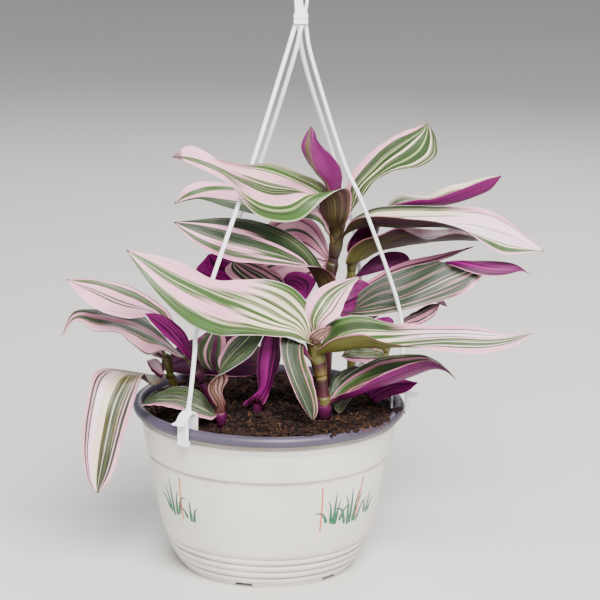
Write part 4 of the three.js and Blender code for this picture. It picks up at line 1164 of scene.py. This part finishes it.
def wall_radius(height):
    """The pot's outer radius between the ribs and the collar."""
    share = (height - WALL_FOOT) / (WALL_TOP - WALL_FOOT)
    return lerp(WALL_FOOT_RADIUS, WALL_TOP_RADIUS, share) + 0.6 * math.sin(math.pi * share)


def pot_profile():
    """The pot's section as (radius, height), from under its base up the outside and down the inside.

    Also gives the places in that list where the grey rim begins and ends.
    """
    outer = [(PAD_RADIUS + 6, FLOOR_UNDERSIDE), (BASE_RADIUS - 5, FLOOR_UNDERSIDE), (BASE_RADIUS - 4.2, 0.15)]
    outer += [(BASE_RADIUS - 3.6, 0), (BASE_RADIUS - 0.6, 0), (BASE_RADIUS, 0.6)]
    outer.append((BASE_RADIUS + 0.2, FOOT_HEIGHT))
    for rib in range(RIB_COUNT):
        low = FOOT_HEIGHT + rib * RIB_STEP
        radius = lerp(BASE_RADIUS, BELLY_RADIUS, ((rib + 0.5) / RIB_COUNT) ** 0.62)
        for i in range(1, 10):
            share = i / 10
            bulge = math.sin(math.pi * share) ** 0.6
            slant = lerp(-1.6, 1.2, share)
            outer.append((radius + slant + 2 * bulge - 1.4, low + share * RIB_STEP))
        if rib < RIB_COUNT - 1:
            outer.append((radius - 0.3, low + RIB_STEP))
    outer += [(BELLY_RADIUS - 0.4, RIB_TOP + 0.2), (BELLY_RADIUS + 0.7, RIB_TOP + 1.6)]
    outer += [(BELLY_RADIUS + 1.6, WALL_FOOT)]
    for i in range(1, 25):
        height = lerp(WALL_FOOT, WALL_TOP, i / 25)
        outer.append((wall_radius(height), height))
    outer += [(80.2, 77), (79.6, 77.7), (80.9, 78.6), (81.3, 79.6)]
    for i in range(1, 9):
        share = i / 8
        outer.append((lerp(81.4, 84.2, share), lerp(80.5, 97.6, share)))
    outer += [(84.6, 98.1), (85.1, 99), (85.1, 100.2), (84.7, 101), (84.2, 101.4), (84.1, 103)]
    grey_start = len(outer)
    outer += [(84.3, 103.4), (85.2, 103.7)]
    outer += arc_profile((RIM_RADIUS - RIM_BEAD, RIM_HEIGHT), RIM_BEAD, -96, 96, 22)
    outer += [(84.9, 110.7), (83.9, 109.9), (83.3, 108.4)]
    grey_stop = len(outer)
    inner = [(83.2, 106), (82.4, 97.6), (79, 79), (77.8, 76), (67.2, 26), (64, 12), (59, FLOOR_TOP + 1)]
    inner += [(54, FLOOR_TOP), (34, FLOOR_TOP)]
    return outer + inner, grey_start, grey_stop


def make_pot(ivory, grey):
    """The lathed pot. Gaps are cut in its foot ring by lifting the ring's lowest rows."""
    profile, grey_start, grey_stop = pot_profile()
    vertices = []
    gap_half = NOTCH_WIDTH / 2 / BASE_RADIUS
    for radius, height in profile:
        for angle in turns(POT_SEGMENTS):
            gap = min(
                abs((angle - math.tau * (k + 0.25) / NOTCH_COUNT + math.pi) % math.tau - math.pi)
                for k in range(NOTCH_COUNT)
            )
            lift = 0
            if height < FOOT_HEIGHT - 0.1 and gap < gap_half:
                lift = FOOT_HEIGHT - 0.3 - height
            vertices.append((*polar(radius, angle), height + lift))
    faces = grid_faces(len(profile), POT_SEGMENTS)
    shades = [int(grey_start <= face[0] // POT_SEGMENTS + 1 <= grey_stop) for face in faces]
    for ring, centre_height, turned in ((0, FLOOR_UNDERSIDE, True), (len(profile) - 1, FLOOR_TOP, False)):
        centre = len(vertices)
        vertices.append((0, 0, centre_height))
        for i in range(POT_SEGMENTS):
            a, b = ring * POT_SEGMENTS + i, ring * POT_SEGMENTS + (i + 1) % POT_SEGMENTS
            faces.append((b, a, centre) if turned else (a, b, centre))
            shades.append(0)
    piece = mesh_piece("pot_shell", vertices, faces, [ivory, grey], ["pot"])
    piece.data.polygons.foreach_set("material_index", shades)
    sharpen(piece, 38)


def make_pad(material):
    """The round pad under the middle of the pot."""
    sides, ease, high = 40, 0.4, FLOOR_TOP - 1
    rows = [(PAD_RADIUS - ease, 0), (PAD_RADIUS, ease), (PAD_RADIUS, high - ease), (PAD_RADIUS - ease, high)]
    vertices = []
    for radius, height in rows:
        vertices += [(*polar(radius, angle), height) for angle in turns(sides)]
    sharpen(mesh_piece("pot_pad", vertices, tube_faces(len(rows), sides), [material]), 40)


def print_stroke(points, width, taper):
    """A thin closed strip on the wall through (degrees, height) points. Gives vertices and faces."""
    line = Line([(degrees, height, 0) for degrees, height in points])
    steps = 22
    vertices = []
    for j in range(steps + 1):
        share = j / steps
        degrees, height, _ = line.at(share)
        run = line.along(share)
        sweep = math.radians(1) * wall_radius(height)
        tangent = Vector((run.x * sweep, run.y, 0)).normalized()
        half = width / 2 * (lerp(1, 0.15, share**1.5) * smooth(-0.25, 0.2, share) if taper else 1)
        for side, proud in ((-1, -0.25), (-1, 0.1), (1, 0.1), (1, -0.25)):
            across = -tangent.y * half * side
            up = tangent.x * half * side
            z = height + up
            angle = math.radians(degrees - 90) + across / wall_radius(z)
            vertices.append((*polar(wall_radius(z) + proud, angle), z))
    return vertices, tube_faces(steps + 1, 4)


# The ornament: tufts of grass strokes and upright lines round the lower wall. Degrees run round the pot
# from the front towards +X. Tufts are (degrees, foot height, spread, strokes, tallest stroke) and lines
# are (degrees, low, high, lean).
TUFTS = [
    (-53, 45, 13, 5, 30), (-41, 43, 9, 3, 18),
    (34, 45, 12, 5, 27), (46, 42, 15, 6, 33), (58, 45, 8, 3, 20),
    (118, 45, 14, 5, 29), (196, 44, 15, 6, 30), (262, 44, 13, 5, 27),
]
GRASS_WIDTH = 2.5
LINE_WIDTH = 1.1
UPRIGHTS = [(-47, 44, 74, 1.5), (27, 42, 73, -1), (49, 47, 75, 1.6), (123, 44, 73, 1), (200, 44, 74, -1.5)]


def make_print(green, orange):
    """The ornament printed on the pot: its grass in one piece and its lines in another."""
    chance = random.Random(7)
    vertices, faces = [], []
    for degrees, foot, spread, strokes, tallest in TUFTS:
        for k in range(strokes):
            turn = (k + 0.5) / strokes * 2 - 1 + chance.uniform(-0.12, 0.12)
            reach = tallest * (1 - 0.45 * abs(turn)) * chance.uniform(0.8, 1.05)
            start = (degrees + turn * spread * 0.36, foot + 3 * abs(turn) + chance.uniform(-1, 1))
            middle = (degrees + turn * spread * 0.62, foot + reach * 0.66)
            end = (degrees + turn * spread, foot + reach * (1 - 0.28 * abs(turn)))
            add_part(vertices, faces, *print_stroke([start, middle, end], GRASS_WIDTH, True))
    mesh_piece("print_grass", vertices, faces, [green], smooth_shading=False)
    vertices, faces = [], []
    for degrees, low, high, lean in UPRIGHTS:
        points = [(degrees, low), (degrees + lean * 0.3, (low + high) / 2), (degrees + lean, high)]
        add_part(vertices, faces, *print_stroke(points, LINE_WIDTH, False))
    mesh_piece("print_lines", vertices, faces, [orange], smooth_shading=False)


GRASS_GREEN = colour(14, 96, 60)
LINE_ORANGE = colour(204, 88, 46)
WORN_INK = (0.7, 0.68, 0.62, 1)


def ink_finish(name, shade, seed):
    """Printed ink, worn through in small spots."""
    finish = Finish(name, roughness=0.5)
    worn = finish.grain(finish.place(), 900 + seed, 3, 0.7)
    base = finish.mix(shade, WORN_INK, worn.between(0.5, 0.8) * 0.5)
    return finish.made(base, None, worn, 0.0001, 0.3)


# ---------- soil ----------

SOIL_RINGS = 96
SOIL_SIDES = 300
SOIL_RADIUS = 82.6
SOIL_FLOOR = 94

# Small heaps of soil: their middle, height and spread.
HEAPS = [
    (2, -62, 5, 8), (48, -50, 3.5, 12), (69, -30, 5.5, 13), (-62, -28, 2.5, 12), (22, -68, 2, 9),
    (-50, 52, 4, 14),
]
HEAP_REACH = 82.8  # the heaps and lumps die out this far from the middle


def soil_level(x, y):
    """The height of the soil's heaped top, without its small lumps."""
    edge = min(1, math.hypot(x, y) / HEAP_REACH)
    heap = SOIL_EDGE + (SOIL_CROWN - SOIL_EDGE) * (1 - edge**2)
    lumps = math.sin(0.11 * x + 1) * math.sin(0.13 * y) + 0.6 * math.sin(0.23 * x - 0.19 * y)
    for middle_x, middle_y, height, spread in HEAPS:
        away = math.hypot(x - middle_x, y - middle_y) / spread
        heap += height * math.exp(-(away**2)) * (1 - edge**6)
    return heap + 0.7 * lumps * (1 - edge**4)


def soil_lumps(x, y):
    return noise.noise(Vector((x, y, 3)) * 0.13) * 2.6 + noise.noise(Vector((x, y, 8)) * 0.4) * 1.7


def soil_edge(radius):
    """1 over most of the soil, and 0 at its edge, where its lumps die out."""
    return smooth(SOIL_RADIUS, SOIL_RADIUS - 4, radius)


def soil_top(x, y):
    return soil_level(x, y) - 0.5 + soil_lumps(x, y) * soil_edge(math.hypot(x, y))


PEAT_BLACK = colour(6, 4, 4)
# The near-black of the painted shade in the middle of the soil.
PEAT_PAINTED_SHADE = colour(5, 3, 3)
PEAT_BITS = colour(104, 76, 60)
PEAT_STOPS = [
    (0.36, PEAT_BLACK), (0.52, colour(28, 18, 15)), (0.64, colour(60, 40, 32)), (0.78, colour(96, 66, 52)),
]


def soil_finish():
    """Dark peat with brown and pale bits, and painted shade that darkens the middle, where the plant shades
    the soil.
    """
    finish = Finish("peat", roughness=0.9, Specular_IOR_Level=0.12)
    place = finish.place()
    coarse = finish.grain(place, 150, 5, 0.7)
    shade = finish.ramp(coarse, PEAT_STOPS)
    fine = finish.grain(place, 900, 3, 0.7)
    shade = finish.mix(shade, PEAT_BLACK, fine.between(0.45, 0.65) * 0.6)
    bits = finish.cells(place, 300).between(0.2, 0.1)
    shade = finish.mix(shade, PEAT_BITS, bits * fine.between(0.5, 0.6) * 0.7)
    # Painted shade: the peat darkens towards the middle, where the plant's leaves shade it.
    x, y, _ = finish.split(place)
    out = (x * x + y * y).math("SQRT")
    painted_shade = (out + coarse * 0.02).between(0.078, 0.055)
    shade = finish.mix(shade, PEAT_PAINTED_SHADE, painted_shade * 0.6)
    return finish.made(shade, fine * 0.3 + 0.7, coarse, 0.002, 0.6)


def crumb_finish(name, dark, light):
    finish = Finish(name, roughness=0.85, Specular_IOR_Level=0.15)
    grains = finish.grain(finish.place(), 420, 4, 0.7)
    base = finish.ramp(grains, [(0.35, dark), (0.65, light)])
    return finish.made(base, grains * 0.25 + 0.7, grains, 0.0008, 0.6)


def make_soil(material):
    """A closed slab of soil with a rough heaped top."""
    vertices = [(0, 0, soil_level(0, 0) + 0.3)]
    for ring in range(1, SOIL_RINGS + 1):
        radius = SOIL_RADIUS * ring / SOIL_RINGS
        for angle in turns(SOIL_SIDES):
            x, y = polar(radius, angle)
            lumps = soil_lumps(x, y) + noise.noise(Vector((x, y, 5)) * 0.9) * 1.1
            vertices.append((x, y, soil_level(x, y) - 0.5 + lumps * soil_edge(radius)))
    shrink = 0.955
    vertices += [(x * shrink, y * shrink, SOIL_FLOOR) for x, y, _ in vertices[-SOIL_SIDES:]]
    centre = len(vertices)
    vertices.append((0, 0, SOIL_FLOOR))
    faces = [(0, 1 + i, 1 + (i + 1) % SOIL_SIDES) for i in range(SOIL_SIDES)]
    faces += [face[::-1] for face in grid_faces(SOIL_RINGS + 1, SOIL_SIDES, 1)]
    low = centre - SOIL_SIDES
    faces += [(centre, low + (i + 1) % SOIL_SIDES, low + i) for i in range(SOIL_SIDES)]
    mesh_piece("soil_heap", vertices, faces, [material], ["soil"])


# The twelve corners and twenty faces of an icosahedron.
GOLD = (1 + math.sqrt(5)) / 2
LUMP_CORNERS = [
    (-1, GOLD, 0), (1, GOLD, 0), (-1, -GOLD, 0), (1, -GOLD, 0), (0, -1, GOLD), (0, 1, GOLD),
    (0, -1, -GOLD), (0, 1, -GOLD), (GOLD, 0, -1), (GOLD, 0, 1), (-GOLD, 0, -1), (-GOLD, 0, 1),
]
LUMP_FACES = [
    (0, 11, 5), (0, 5, 1), (0, 1, 7), (0, 7, 10), (0, 10, 11), (1, 5, 9), (5, 11, 4), (11, 10, 2),
    (10, 7, 6), (7, 1, 8), (3, 9, 4), (3, 4, 2), (3, 2, 6), (3, 6, 8), (3, 8, 9), (4, 9, 5),
    (2, 4, 11), (6, 2, 10), (8, 6, 7), (9, 8, 1),
]


def add_lump(vertices, faces, centre, size, chance):
    """An irregular crumb round a point, a little flattened."""
    turn = Matrix.Rotation(chance.uniform(0, 6.28), 3, "Z") @ Matrix.Rotation(chance.uniform(0, 3.14), 3, "X")
    stretch = Vector((chance.uniform(0.7, 1.4), chance.uniform(0.6, 1.1), chance.uniform(0.5, 1)))
    points = []
    for corner in LUMP_CORNERS:
        point = Vector(a * b for a, b in zip(corner, stretch)) * (size / 1.9) * chance.uniform(0.72, 1.2)
        point = turn @ point
        point.z *= 0.75
        points.append(centre + point)
    add_part(vertices, faces, points, LUMP_FACES)


def on_rim(angle, lean, proud):
    """A point over the rolled rim: its angle round the pot, and how far it leans out from the rim's top."""
    reach = RIM_RADIUS - RIM_BEAD + (RIM_BEAD + proud) * math.sin(lean)
    return Vector((*polar(reach, angle), RIM_HEIGHT + (RIM_BEAD + proud) * math.cos(lean)))


CRUMB_REACH = 81.3  # crumbs lie on the soil within this radius
FIBRE_REACH = 80
RIM_SPILL = 50  # the spilt crumbs lie on the rim about here, in degrees from the front towards +X


def make_crumbs(dark, light):
    """Crumbs, clods and pale bits on the soil, and a few crumbs spilt on the rim."""
    chance = random.Random(31)
    for name, material, count, sizes in (
        ("soil_crumbs", dark, 4200, (0.5, 2.6)), ("soil_clods", dark, 60, (2.5, 6)),
        ("soil_bits", light, 420, (0.4, 1.5)),
    ):
        vertices, faces = [], []
        for _ in range(count):
            radius = (CRUMB_REACH - sizes[1] / 2) * math.sqrt(chance.random())
            x, y = polar(radius, chance.uniform(0, math.tau))
            size = lerp(*sizes, chance.random() ** 2.4)
            add_lump(vertices, faces, Vector((x, y, soil_top(x, y) + size * 0.2)), size, chance)
        mesh_piece(name, vertices, faces, [material], smooth_shading=False)
    vertices, faces = [], []
    for _ in range(70):
        angle = math.radians(-90 + chance.gauss(RIM_SPILL, 14))
        size = lerp(0.8, 3.4, chance.random() ** 1.8)
        lean = math.radians(chance.triangular(-50, 75, -20))
        add_lump(vertices, faces, on_rim(angle, lean, size * 0.15), size, chance)
    mesh_piece("rim_crumbs", vertices, faces, [dark], smooth_shading=False)


def add_fibre(vertices, faces, line, radius, steps):
    """A thin closed tube along a line that gets thinner towards its end."""
    sides = 6
    first = len(vertices)
    for j in range(steps + 1):
        share = j / steps
        side, front = ring_frame(line, share, (0.2, 0.3, 1))
        girth = radius * lerp(1, 0.5, share)
        for angle in turns(sides):
            vertices.append(line.at(share) + (side * math.cos(angle) + front * math.sin(angle)) * girth)
    faces += tube_faces(steps + 1, sides, first)


def make_fibres(material):
    """Loose fibres on the soil and over the rim."""
    chance = random.Random(53)
    vertices, faces = [], []
    for _ in range(150):
        radius = 76 * math.sqrt(chance.random())
        angle = chance.uniform(0, math.tau)
        heading = chance.uniform(0, math.tau)
        x, y = polar(radius, angle)
        points = []
        for step in range(4):
            rise = chance.uniform(0.2, 1.6) if step in (1, 2) else chance.uniform(-0.6, 0.4)
            points.append((x, y, soil_top(x, y) + rise))
            heading += chance.uniform(-0.9, 0.9)
            run, drift = polar(chance.uniform(1.6, 4), heading)
            x, y = x + run, y + drift
            shrink = min(1, FIBRE_REACH / max(1, math.hypot(x, y)))
            x, y = x * shrink, y * shrink
        add_fibre(vertices, faces, Line(points), chance.uniform(0.12, 0.32), 10)
    for _ in range(22):
        bearing = -90 + chance.gauss(RIM_SPILL - 1, 8)
        points = []
        leans = [chance.uniform(low, high) for low, high in ((-60, -20), (-20, 20), (30, 60), (60, 100))]
        for lean in leans:
            bearing += chance.uniform(-1.5, 1.5)
            points.append(on_rim(math.radians(bearing), math.radians(lean), 0.4))
        add_fibre(vertices, faces, Line(points), chance.uniform(0.2, 0.45), 12)
    mesh_piece("soil_fibres", vertices, faces, [material])


# ---------- hanger ----------

# Each strand's bearing on the rim in degrees from the front towards +X, where it enters the hub from the
# hub's middle, and the points between.
STRANDS = {
    "strand_front_left": dict(bearing=-36, top=(-3.6, -1.5), through=[
        (-48.5, -71.5, 141), (-46.7, -69, 161), (-45.6, -65.5, 174), (-36, -53, 205), (-13, -29, 272),
        (7, -7, 336)]),
    "strand_right": dict(bearing=88, top=(3.2, 0), through=[
        (88, 3, 140), (86, 2, 168), (76, 1, 200), (58, 0, 246), (46, 0, 272), (25, 0, 336)]),
    "strand_rear_left": dict(bearing=207, top=(0.6, -3.4), through=[
        (-41, 79, 145), (-39, 76, 168), (-28, 60, 205), (-8, 33, 262), (12, 4, 333)]),
    "strand_rear_right": dict(bearing=135, top=(-1.4, 3.6), through=[
        (63, 65, 145), (62, 69, 175), (56, 66, 215), (39, 46, 272), (21, 14, 330)]),
}
GAP = 0.3
CLIP_OUTER = RIM_RADIUS + GAP
CLIP_INNER = RIM_RADIUS - 2 * RIM_BEAD - 2 * GAP
SPRINGING = CLIP_CROWN - (CLIP_OUTER - CLIP_INNER) / 2
LIP_REACH = 7
CLIP_FACE = CLIP_OUTER + CLIP_WALL
CATCH = RIM_HEIGHT - RIM_BEAD - GAP


def clip_outline():
    """The clip's side view: inner leg, arch, outer leg with its catch, and the thumb lip."""
    middle = (CLIP_OUTER + CLIP_INNER) / 2
    inside = (CLIP_OUTER - CLIP_INNER) / 2
    points = [(CLIP_INNER - CLIP_WALL, RIM_HEIGHT - 0.5), (CLIP_INNER, RIM_HEIGHT - 0.5)]
    points += arc_profile((middle, SPRINGING), inside, 180, 0, 20)
    points += [(CLIP_OUTER, CATCH), (CLIP_OUTER - 2, CATCH - 0.4), (CLIP_OUTER - 1, CATCH - 3)]
    points.append((CLIP_FACE, CATCH - 3))
    for out, up in (
        (0, -2.8), (1.2, -2.4), (3.5, -2.2), (LIP_REACH - 1, -1.8), (LIP_REACH, -1), (LIP_REACH - 1, -0.4),
        (3.6, -0.4), (1.9, 0.6), (0.7, 2.2), (-0.3, 3.4),
    ):
        points.append((CLIP_FACE + out, SPRINGING + up))
    points += arc_profile((middle, SPRINGING), inside + CLIP_WALL, 50, 180, 18)
    return points


def border_outline():
    """The side view of the raised border on either side of the clip's outer face."""
    low = CATCH - 2.6
    inner, outer = CLIP_FACE - 0.5, CLIP_FACE + 0.9
    return [(inner, low), (outer, low + 0.4), (outer, SPRINGING - 3.4), (inner, SPRINGING - 2.6)]


def extruded(outlines, depth, bevel):
    """A mesh of flat outlines given a depth, with rounded edges. Later outlines are holes."""
    flat = bpy.data.curves.new("outline", "CURVE")
    flat.dimensions = "2D"
    flat.fill_mode = "BOTH"
    flat.extrude = depth / 2 - bevel
    flat.bevel_depth = bevel
    flat.offset = -bevel
    flat.bevel_resolution = 2
    for outline in outlines:
        spline = flat.splines.new("POLY")
        spline.points.add(len(outline) - 1)
        spline.use_cyclic_u = True
        for point, (x, y) in zip(spline.points, outline):
            point.co = (x, y, 0, 1)
    holder = bpy.data.objects.new("outline", flat)
    mesh = bpy.data.meshes.new_from_object(holder)
    bpy.data.objects.remove(holder)
    vertices = [vertex.co.copy() for vertex in mesh.vertices]
    faces = [tuple(face.vertices) for face in mesh.polygons]
    bpy.data.meshes.remove(mesh)
    return vertices, faces


def weld(piece):
    """Joins points that nearly meet, and turns every face outwards."""
    bm = bmesh.new()
    bm.from_mesh(piece.data)
    bmesh.ops.remove_doubles(bm, verts=bm.verts, dist=0.02 * MM)
    bmesh.ops.recalc_face_normals(bm, faces=bm.faces)
    bm.to_mesh(piece.data)
    bm.free()
    sharpen(piece, 32)


def make_strand(name, material):
    """A strand with its clip. The strand widens into the clip's crown."""
    strand = STRANDS[name]
    out = Vector((*polar(1, math.radians(strand["bearing"] - 90)), 0))
    foot = out * (RIM_RADIUS - RIM_BEAD) + Vector((0, 0, CLIP_CROWN + CLIP_WALL / 2))
    top = HUB + Vector((*strand["top"], -0.75))
    line = Line([foot, *strand["through"], top])
    vertices = []
    steps, sides = 90, 16
    for j in range(steps + 1):
        share = j / steps
        side, front = ring_frame(line, share, (-out.y, out.x, 0))
        flare = 1.3 * math.exp(-share * line.length / 2)
        for angle in turns(sides):
            wide = math.cos(angle) * (STRAND_RADIUS + flare)
            deep = math.sin(angle) * (STRAND_RADIUS * 0.86)
            vertices.append(line.at(share) + side * wide + front * deep)
    faces = tube_faces(steps + 1, sides)
    # The outlines lie in X and Y; this stands them up along the clip's radius, across its width.
    stand = Matrix((out, Vector((0, 0, 1)), Vector((out.y, -out.x, 0)))).transposed()
    add_part(vertices, faces, *extruded([clip_outline()], CLIP_WIDTH, 0.3), stand)
    for side in (-1, 1):
        more, flats = extruded([border_outline()], 1.3, 0.2)
        shifted = [point + Vector((0, 0, side * (CLIP_WIDTH / 2 - 0.75))) for point in more]
        add_part(vertices, faces, shifted, flats, stand)
    weld(mesh_piece(name + "_moulding", vertices, faces, [material], [name]))


def bend(start, corner, stop, steps=10):
    """The points after the start of a smooth bend that heads for its corner and ends at the stop."""
    points = []
    for i in range(1, steps + 1):
        t = i / steps
        weights = ((1 - t) ** 2, 2 * t * (1 - t), t * t)
        points.append(tuple(sum(w * p[k] for w, p in zip(weights, (start, corner, stop))) for k in (0, 1)))
    return points


LOOP_RISE = 36
LOOP_RADIUS = 8.5
LOOP_DEPTH = 4
EYE_RADIUS = 5
HUB_WIDTH = 9
HUB_DEPTH = 10


def loop_outlines():
    """The loop plate and its eye, with a thick limb on the left and a thin one on the right."""
    plate = [(-3.6, 4), (-4.8, LOOP_RISE / 2)]
    plate += bend((-4.8, LOOP_RISE / 2), (-LOOP_RADIUS, LOOP_RISE - 8), (-LOOP_RADIUS, LOOP_RISE))
    plate += arc_profile((0, LOOP_RISE), LOOP_RADIUS, 180, 0, 28)[1:]
    plate += bend((LOOP_RADIUS, LOOP_RISE), (LOOP_RADIUS, LOOP_RISE - 10), (5.2, LOOP_RISE / 2 - 1))
    plate += [(3.4, 4)]
    eye = [(1.8, 9), (3.6, LOOP_RISE / 2)]
    eye += bend((3.6, LOOP_RISE / 2), (6, LOOP_RISE - 9), (6, LOOP_RISE))
    eye += arc_profile((1, LOOP_RISE), EYE_RADIUS, 0, 180, 24)[1:]
    eye += bend((1 - EYE_RADIUS, LOOP_RISE), (-3.6, LOOP_RISE - 8), (0.6, LOOP_RISE / 2))
    return [plate, eye]


def make_hub(material):
    """The hub's two blocks, the groove between them and the loop on top."""
    vertices, faces = [], []
    stand = Matrix(((1, 0, 0), (0, 0, -1), (0, 1, 0)))
    add_part(vertices, faces, *extruded(loop_outlines(), LOOP_DEPTH, 0.7), stand)
    for low, high, inset, bevel in ((0, 2.9, 0, 0.5), (2.9, 3.3, 0.35, 0.05), (3.3, 6.5, 0, 0.5)):
        x, y = HUB_WIDTH / 2 - inset, HUB_DEPTH / 2 - inset
        more, flats = extruded([[(-x, -y), (x, -y), (x, y), (-x, y)]], high - low, bevel)
        add_part(vertices, faces, [point + Vector((0, 0, (low + high) / 2)) for point in more], flats)
    vertices = [point + HUB for point in vertices]
    weld(mesh_piece("hanger_block", vertices, faces, [material], ["hanger_hub"]))


# ---------- everything in its place ----------

POT_IVORY = colour(226, 222, 213)
POT_CLOUD = colour(214, 209, 202)
POT_SPECK = colour(150, 142, 132)
RIM_GREY = colour(72, 65, 82)
RIM_CLOUD = colour(62, 56, 72)
RIM_SPECK = colour(48, 46, 58)
HANGER_WHITE = colour(240, 240, 243)
HANGER_CLOUD = colour(232, 232, 237)
CRUMB_BLACK = colour(9, 5, 5)
CRUMB_BROWN = colour(52, 33, 25)
BIT_BROWN = colour(54, 35, 27)
BIT_PALE = colour(104, 72, 56)
FIBRE_BROWN = colour(54, 33, 22)
FIBRE_PALE = colour(118, 80, 54)

ivory = plastic_finish("recycled_ivory", POT_IVORY, POT_CLOUD, POT_SPECK, 0.55, dust_and_shade=DUST_AND_SHADE_LINES)
grey = plastic_finish("rim_grey", RIM_GREY, RIM_CLOUD, RIM_SPECK, 0.42, 0.3)
white = plastic_finish("hanger_white", HANGER_WHITE, HANGER_CLOUD, HANGER_CLOUD, 0.34, 0.2)
make_pot(ivory, grey)
make_pad(ivory)
make_print(ink_finish("print_green", GRASS_GREEN, 3), ink_finish("print_orange", LINE_ORANGE, 9))
make_soil(soil_finish())
make_crumbs(
    crumb_finish("crumb_dark", CRUMB_BLACK, CRUMB_BROWN), crumb_finish("crumb_light", BIT_BROWN, BIT_PALE))
make_fibres(crumb_finish("fibre", FIBRE_BROWN, FIBRE_PALE))

stem_finishes = {
    kind: stem_finish("stem_" + kind, shades, 3.0 + 5 * count)
    for count, (kind, shades) in enumerate(STEM_SHADES.items())
}
for stem_name in STEMS:
    nodes = sorted(leaf["at"] for leaf in LEAVES.values() if leaf["stem"] == stem_name)
    low_nodes = [node for node in nodes if node < 0.97]  # the top of a stem has no swelling
    make_stem(stem_name, low_nodes, stem_finishes[STEMS[stem_name]["kind"]])

for count, leaf_name in enumerate(LEAVES):
    make_leaf(leaf_name, 10.0 + 3 * count)

for strand_name in STRANDS:
    make_strand(strand_name, white)
make_hub(white)


# ---------- floor, light and camera ----------

FLOOR_CORNERS = [(-6, -3, 0), (6, -3, 0), (6, 6, 0), (-6, 6, 0)]
FLOOR_PALE = colour(214, 212, 208)
FLOOR_CLOUD = colour(206, 204, 200)

# Each lamp's place and aim in metres, its width and height, its power in watts and its shade.
LAMPS = {
    "key": ((0.35, -1.3, 1.5), (0, 0, 0.15), (1.3, 1.0), 120, (1, 0.985, 0.965)),
    "fill": ((-1.5, -0.8, 0.9), (0, 0, 0.15), (1.2, 1.2), 12, (0.97, 0.98, 1)),
    "back": ((0.4, 1.4, 1.3), (0, 0, 0.2), (1.2, 0.8), 22, (1, 1, 1)),
}
ROOM_SHADE = (0.92, 0.93, 0.95, 1)
ROOM_STRENGTH = 0.42

# The camera's place in metres, its turn, tilt down and roll in radians, and its lens in millimetres.
CAMERA_PLACE = (0, -1.3, 0.4897)
CAMERA_TURNS = (0.015, 0.235, 0.016)
CAMERA_LENS = 122.26


def make_floor():
    mesh = bpy.data.meshes.new("floor")
    mesh.from_pydata(FLOOR_CORNERS, [], [(0, 1, 2, 3)])
    finish = Finish("floor_paint", roughness=0.7)
    clouds = finish.grain(finish.place(), 1.2, 2)
    finish.feed("Base Color", finish.mix(FLOOR_PALE, FLOOR_CLOUD, clouds))
    mesh.materials.append(finish.material)
    floor = bpy.data.objects.new("floor", mesh)
    bpy.context.scene.collection.objects.link(floor)


def make_light(name, place, aim, size, power, shade):
    lamp = bpy.data.lights.new(name, "AREA")
    lamp.shape = "RECTANGLE"
    lamp.size, lamp.size_y = size
    lamp.energy = power
    lamp.color = shade
    holder = bpy.data.objects.new(name, lamp)
    holder.location = place
    holder.rotation_euler = (Vector(aim) - Vector(place)).to_track_quat("-Z", "Y").to_euler()
    bpy.context.scene.collection.objects.link(holder)


def make_room():
    world = bpy.data.worlds.new("room")
    world.use_nodes = True
    background = world.node_tree.nodes["Background"]
    background.inputs["Color"].default_value = ROOM_SHADE
    background.inputs["Strength"].default_value = ROOM_STRENGTH
    bpy.context.scene.world = world


def make_camera():
    """The main view, from a little above the front."""
    yaw, pitch, roll = CAMERA_TURNS
    forward = Vector((math.sin(yaw) * math.cos(pitch), math.cos(yaw) * math.cos(pitch), -math.sin(pitch)))
    level = Vector((math.cos(yaw), -math.sin(yaw), 0))
    upright = level.cross(forward)
    right = level * math.cos(roll) + upright * math.sin(roll)
    above = upright * math.cos(roll) - level * math.sin(roll)
    lens = bpy.data.cameras.new("camera")
    lens.lens = CAMERA_LENS
    lens.sensor_width = 36
    lens.clip_end = 50
    holder = bpy.data.objects.new("camera", lens)
    turn = Matrix((right, above, -forward)).transposed().to_4x4()
    holder.matrix_world = Matrix.Translation(CAMERA_PLACE) @ turn
    bpy.context.scene.collection.objects.link(holder)
    bpy.context.scene.camera = holder


make_floor()
for lamp_name, settings in LAMPS.items():
    make_light(lamp_name, *settings)
make_room()
make_camera()
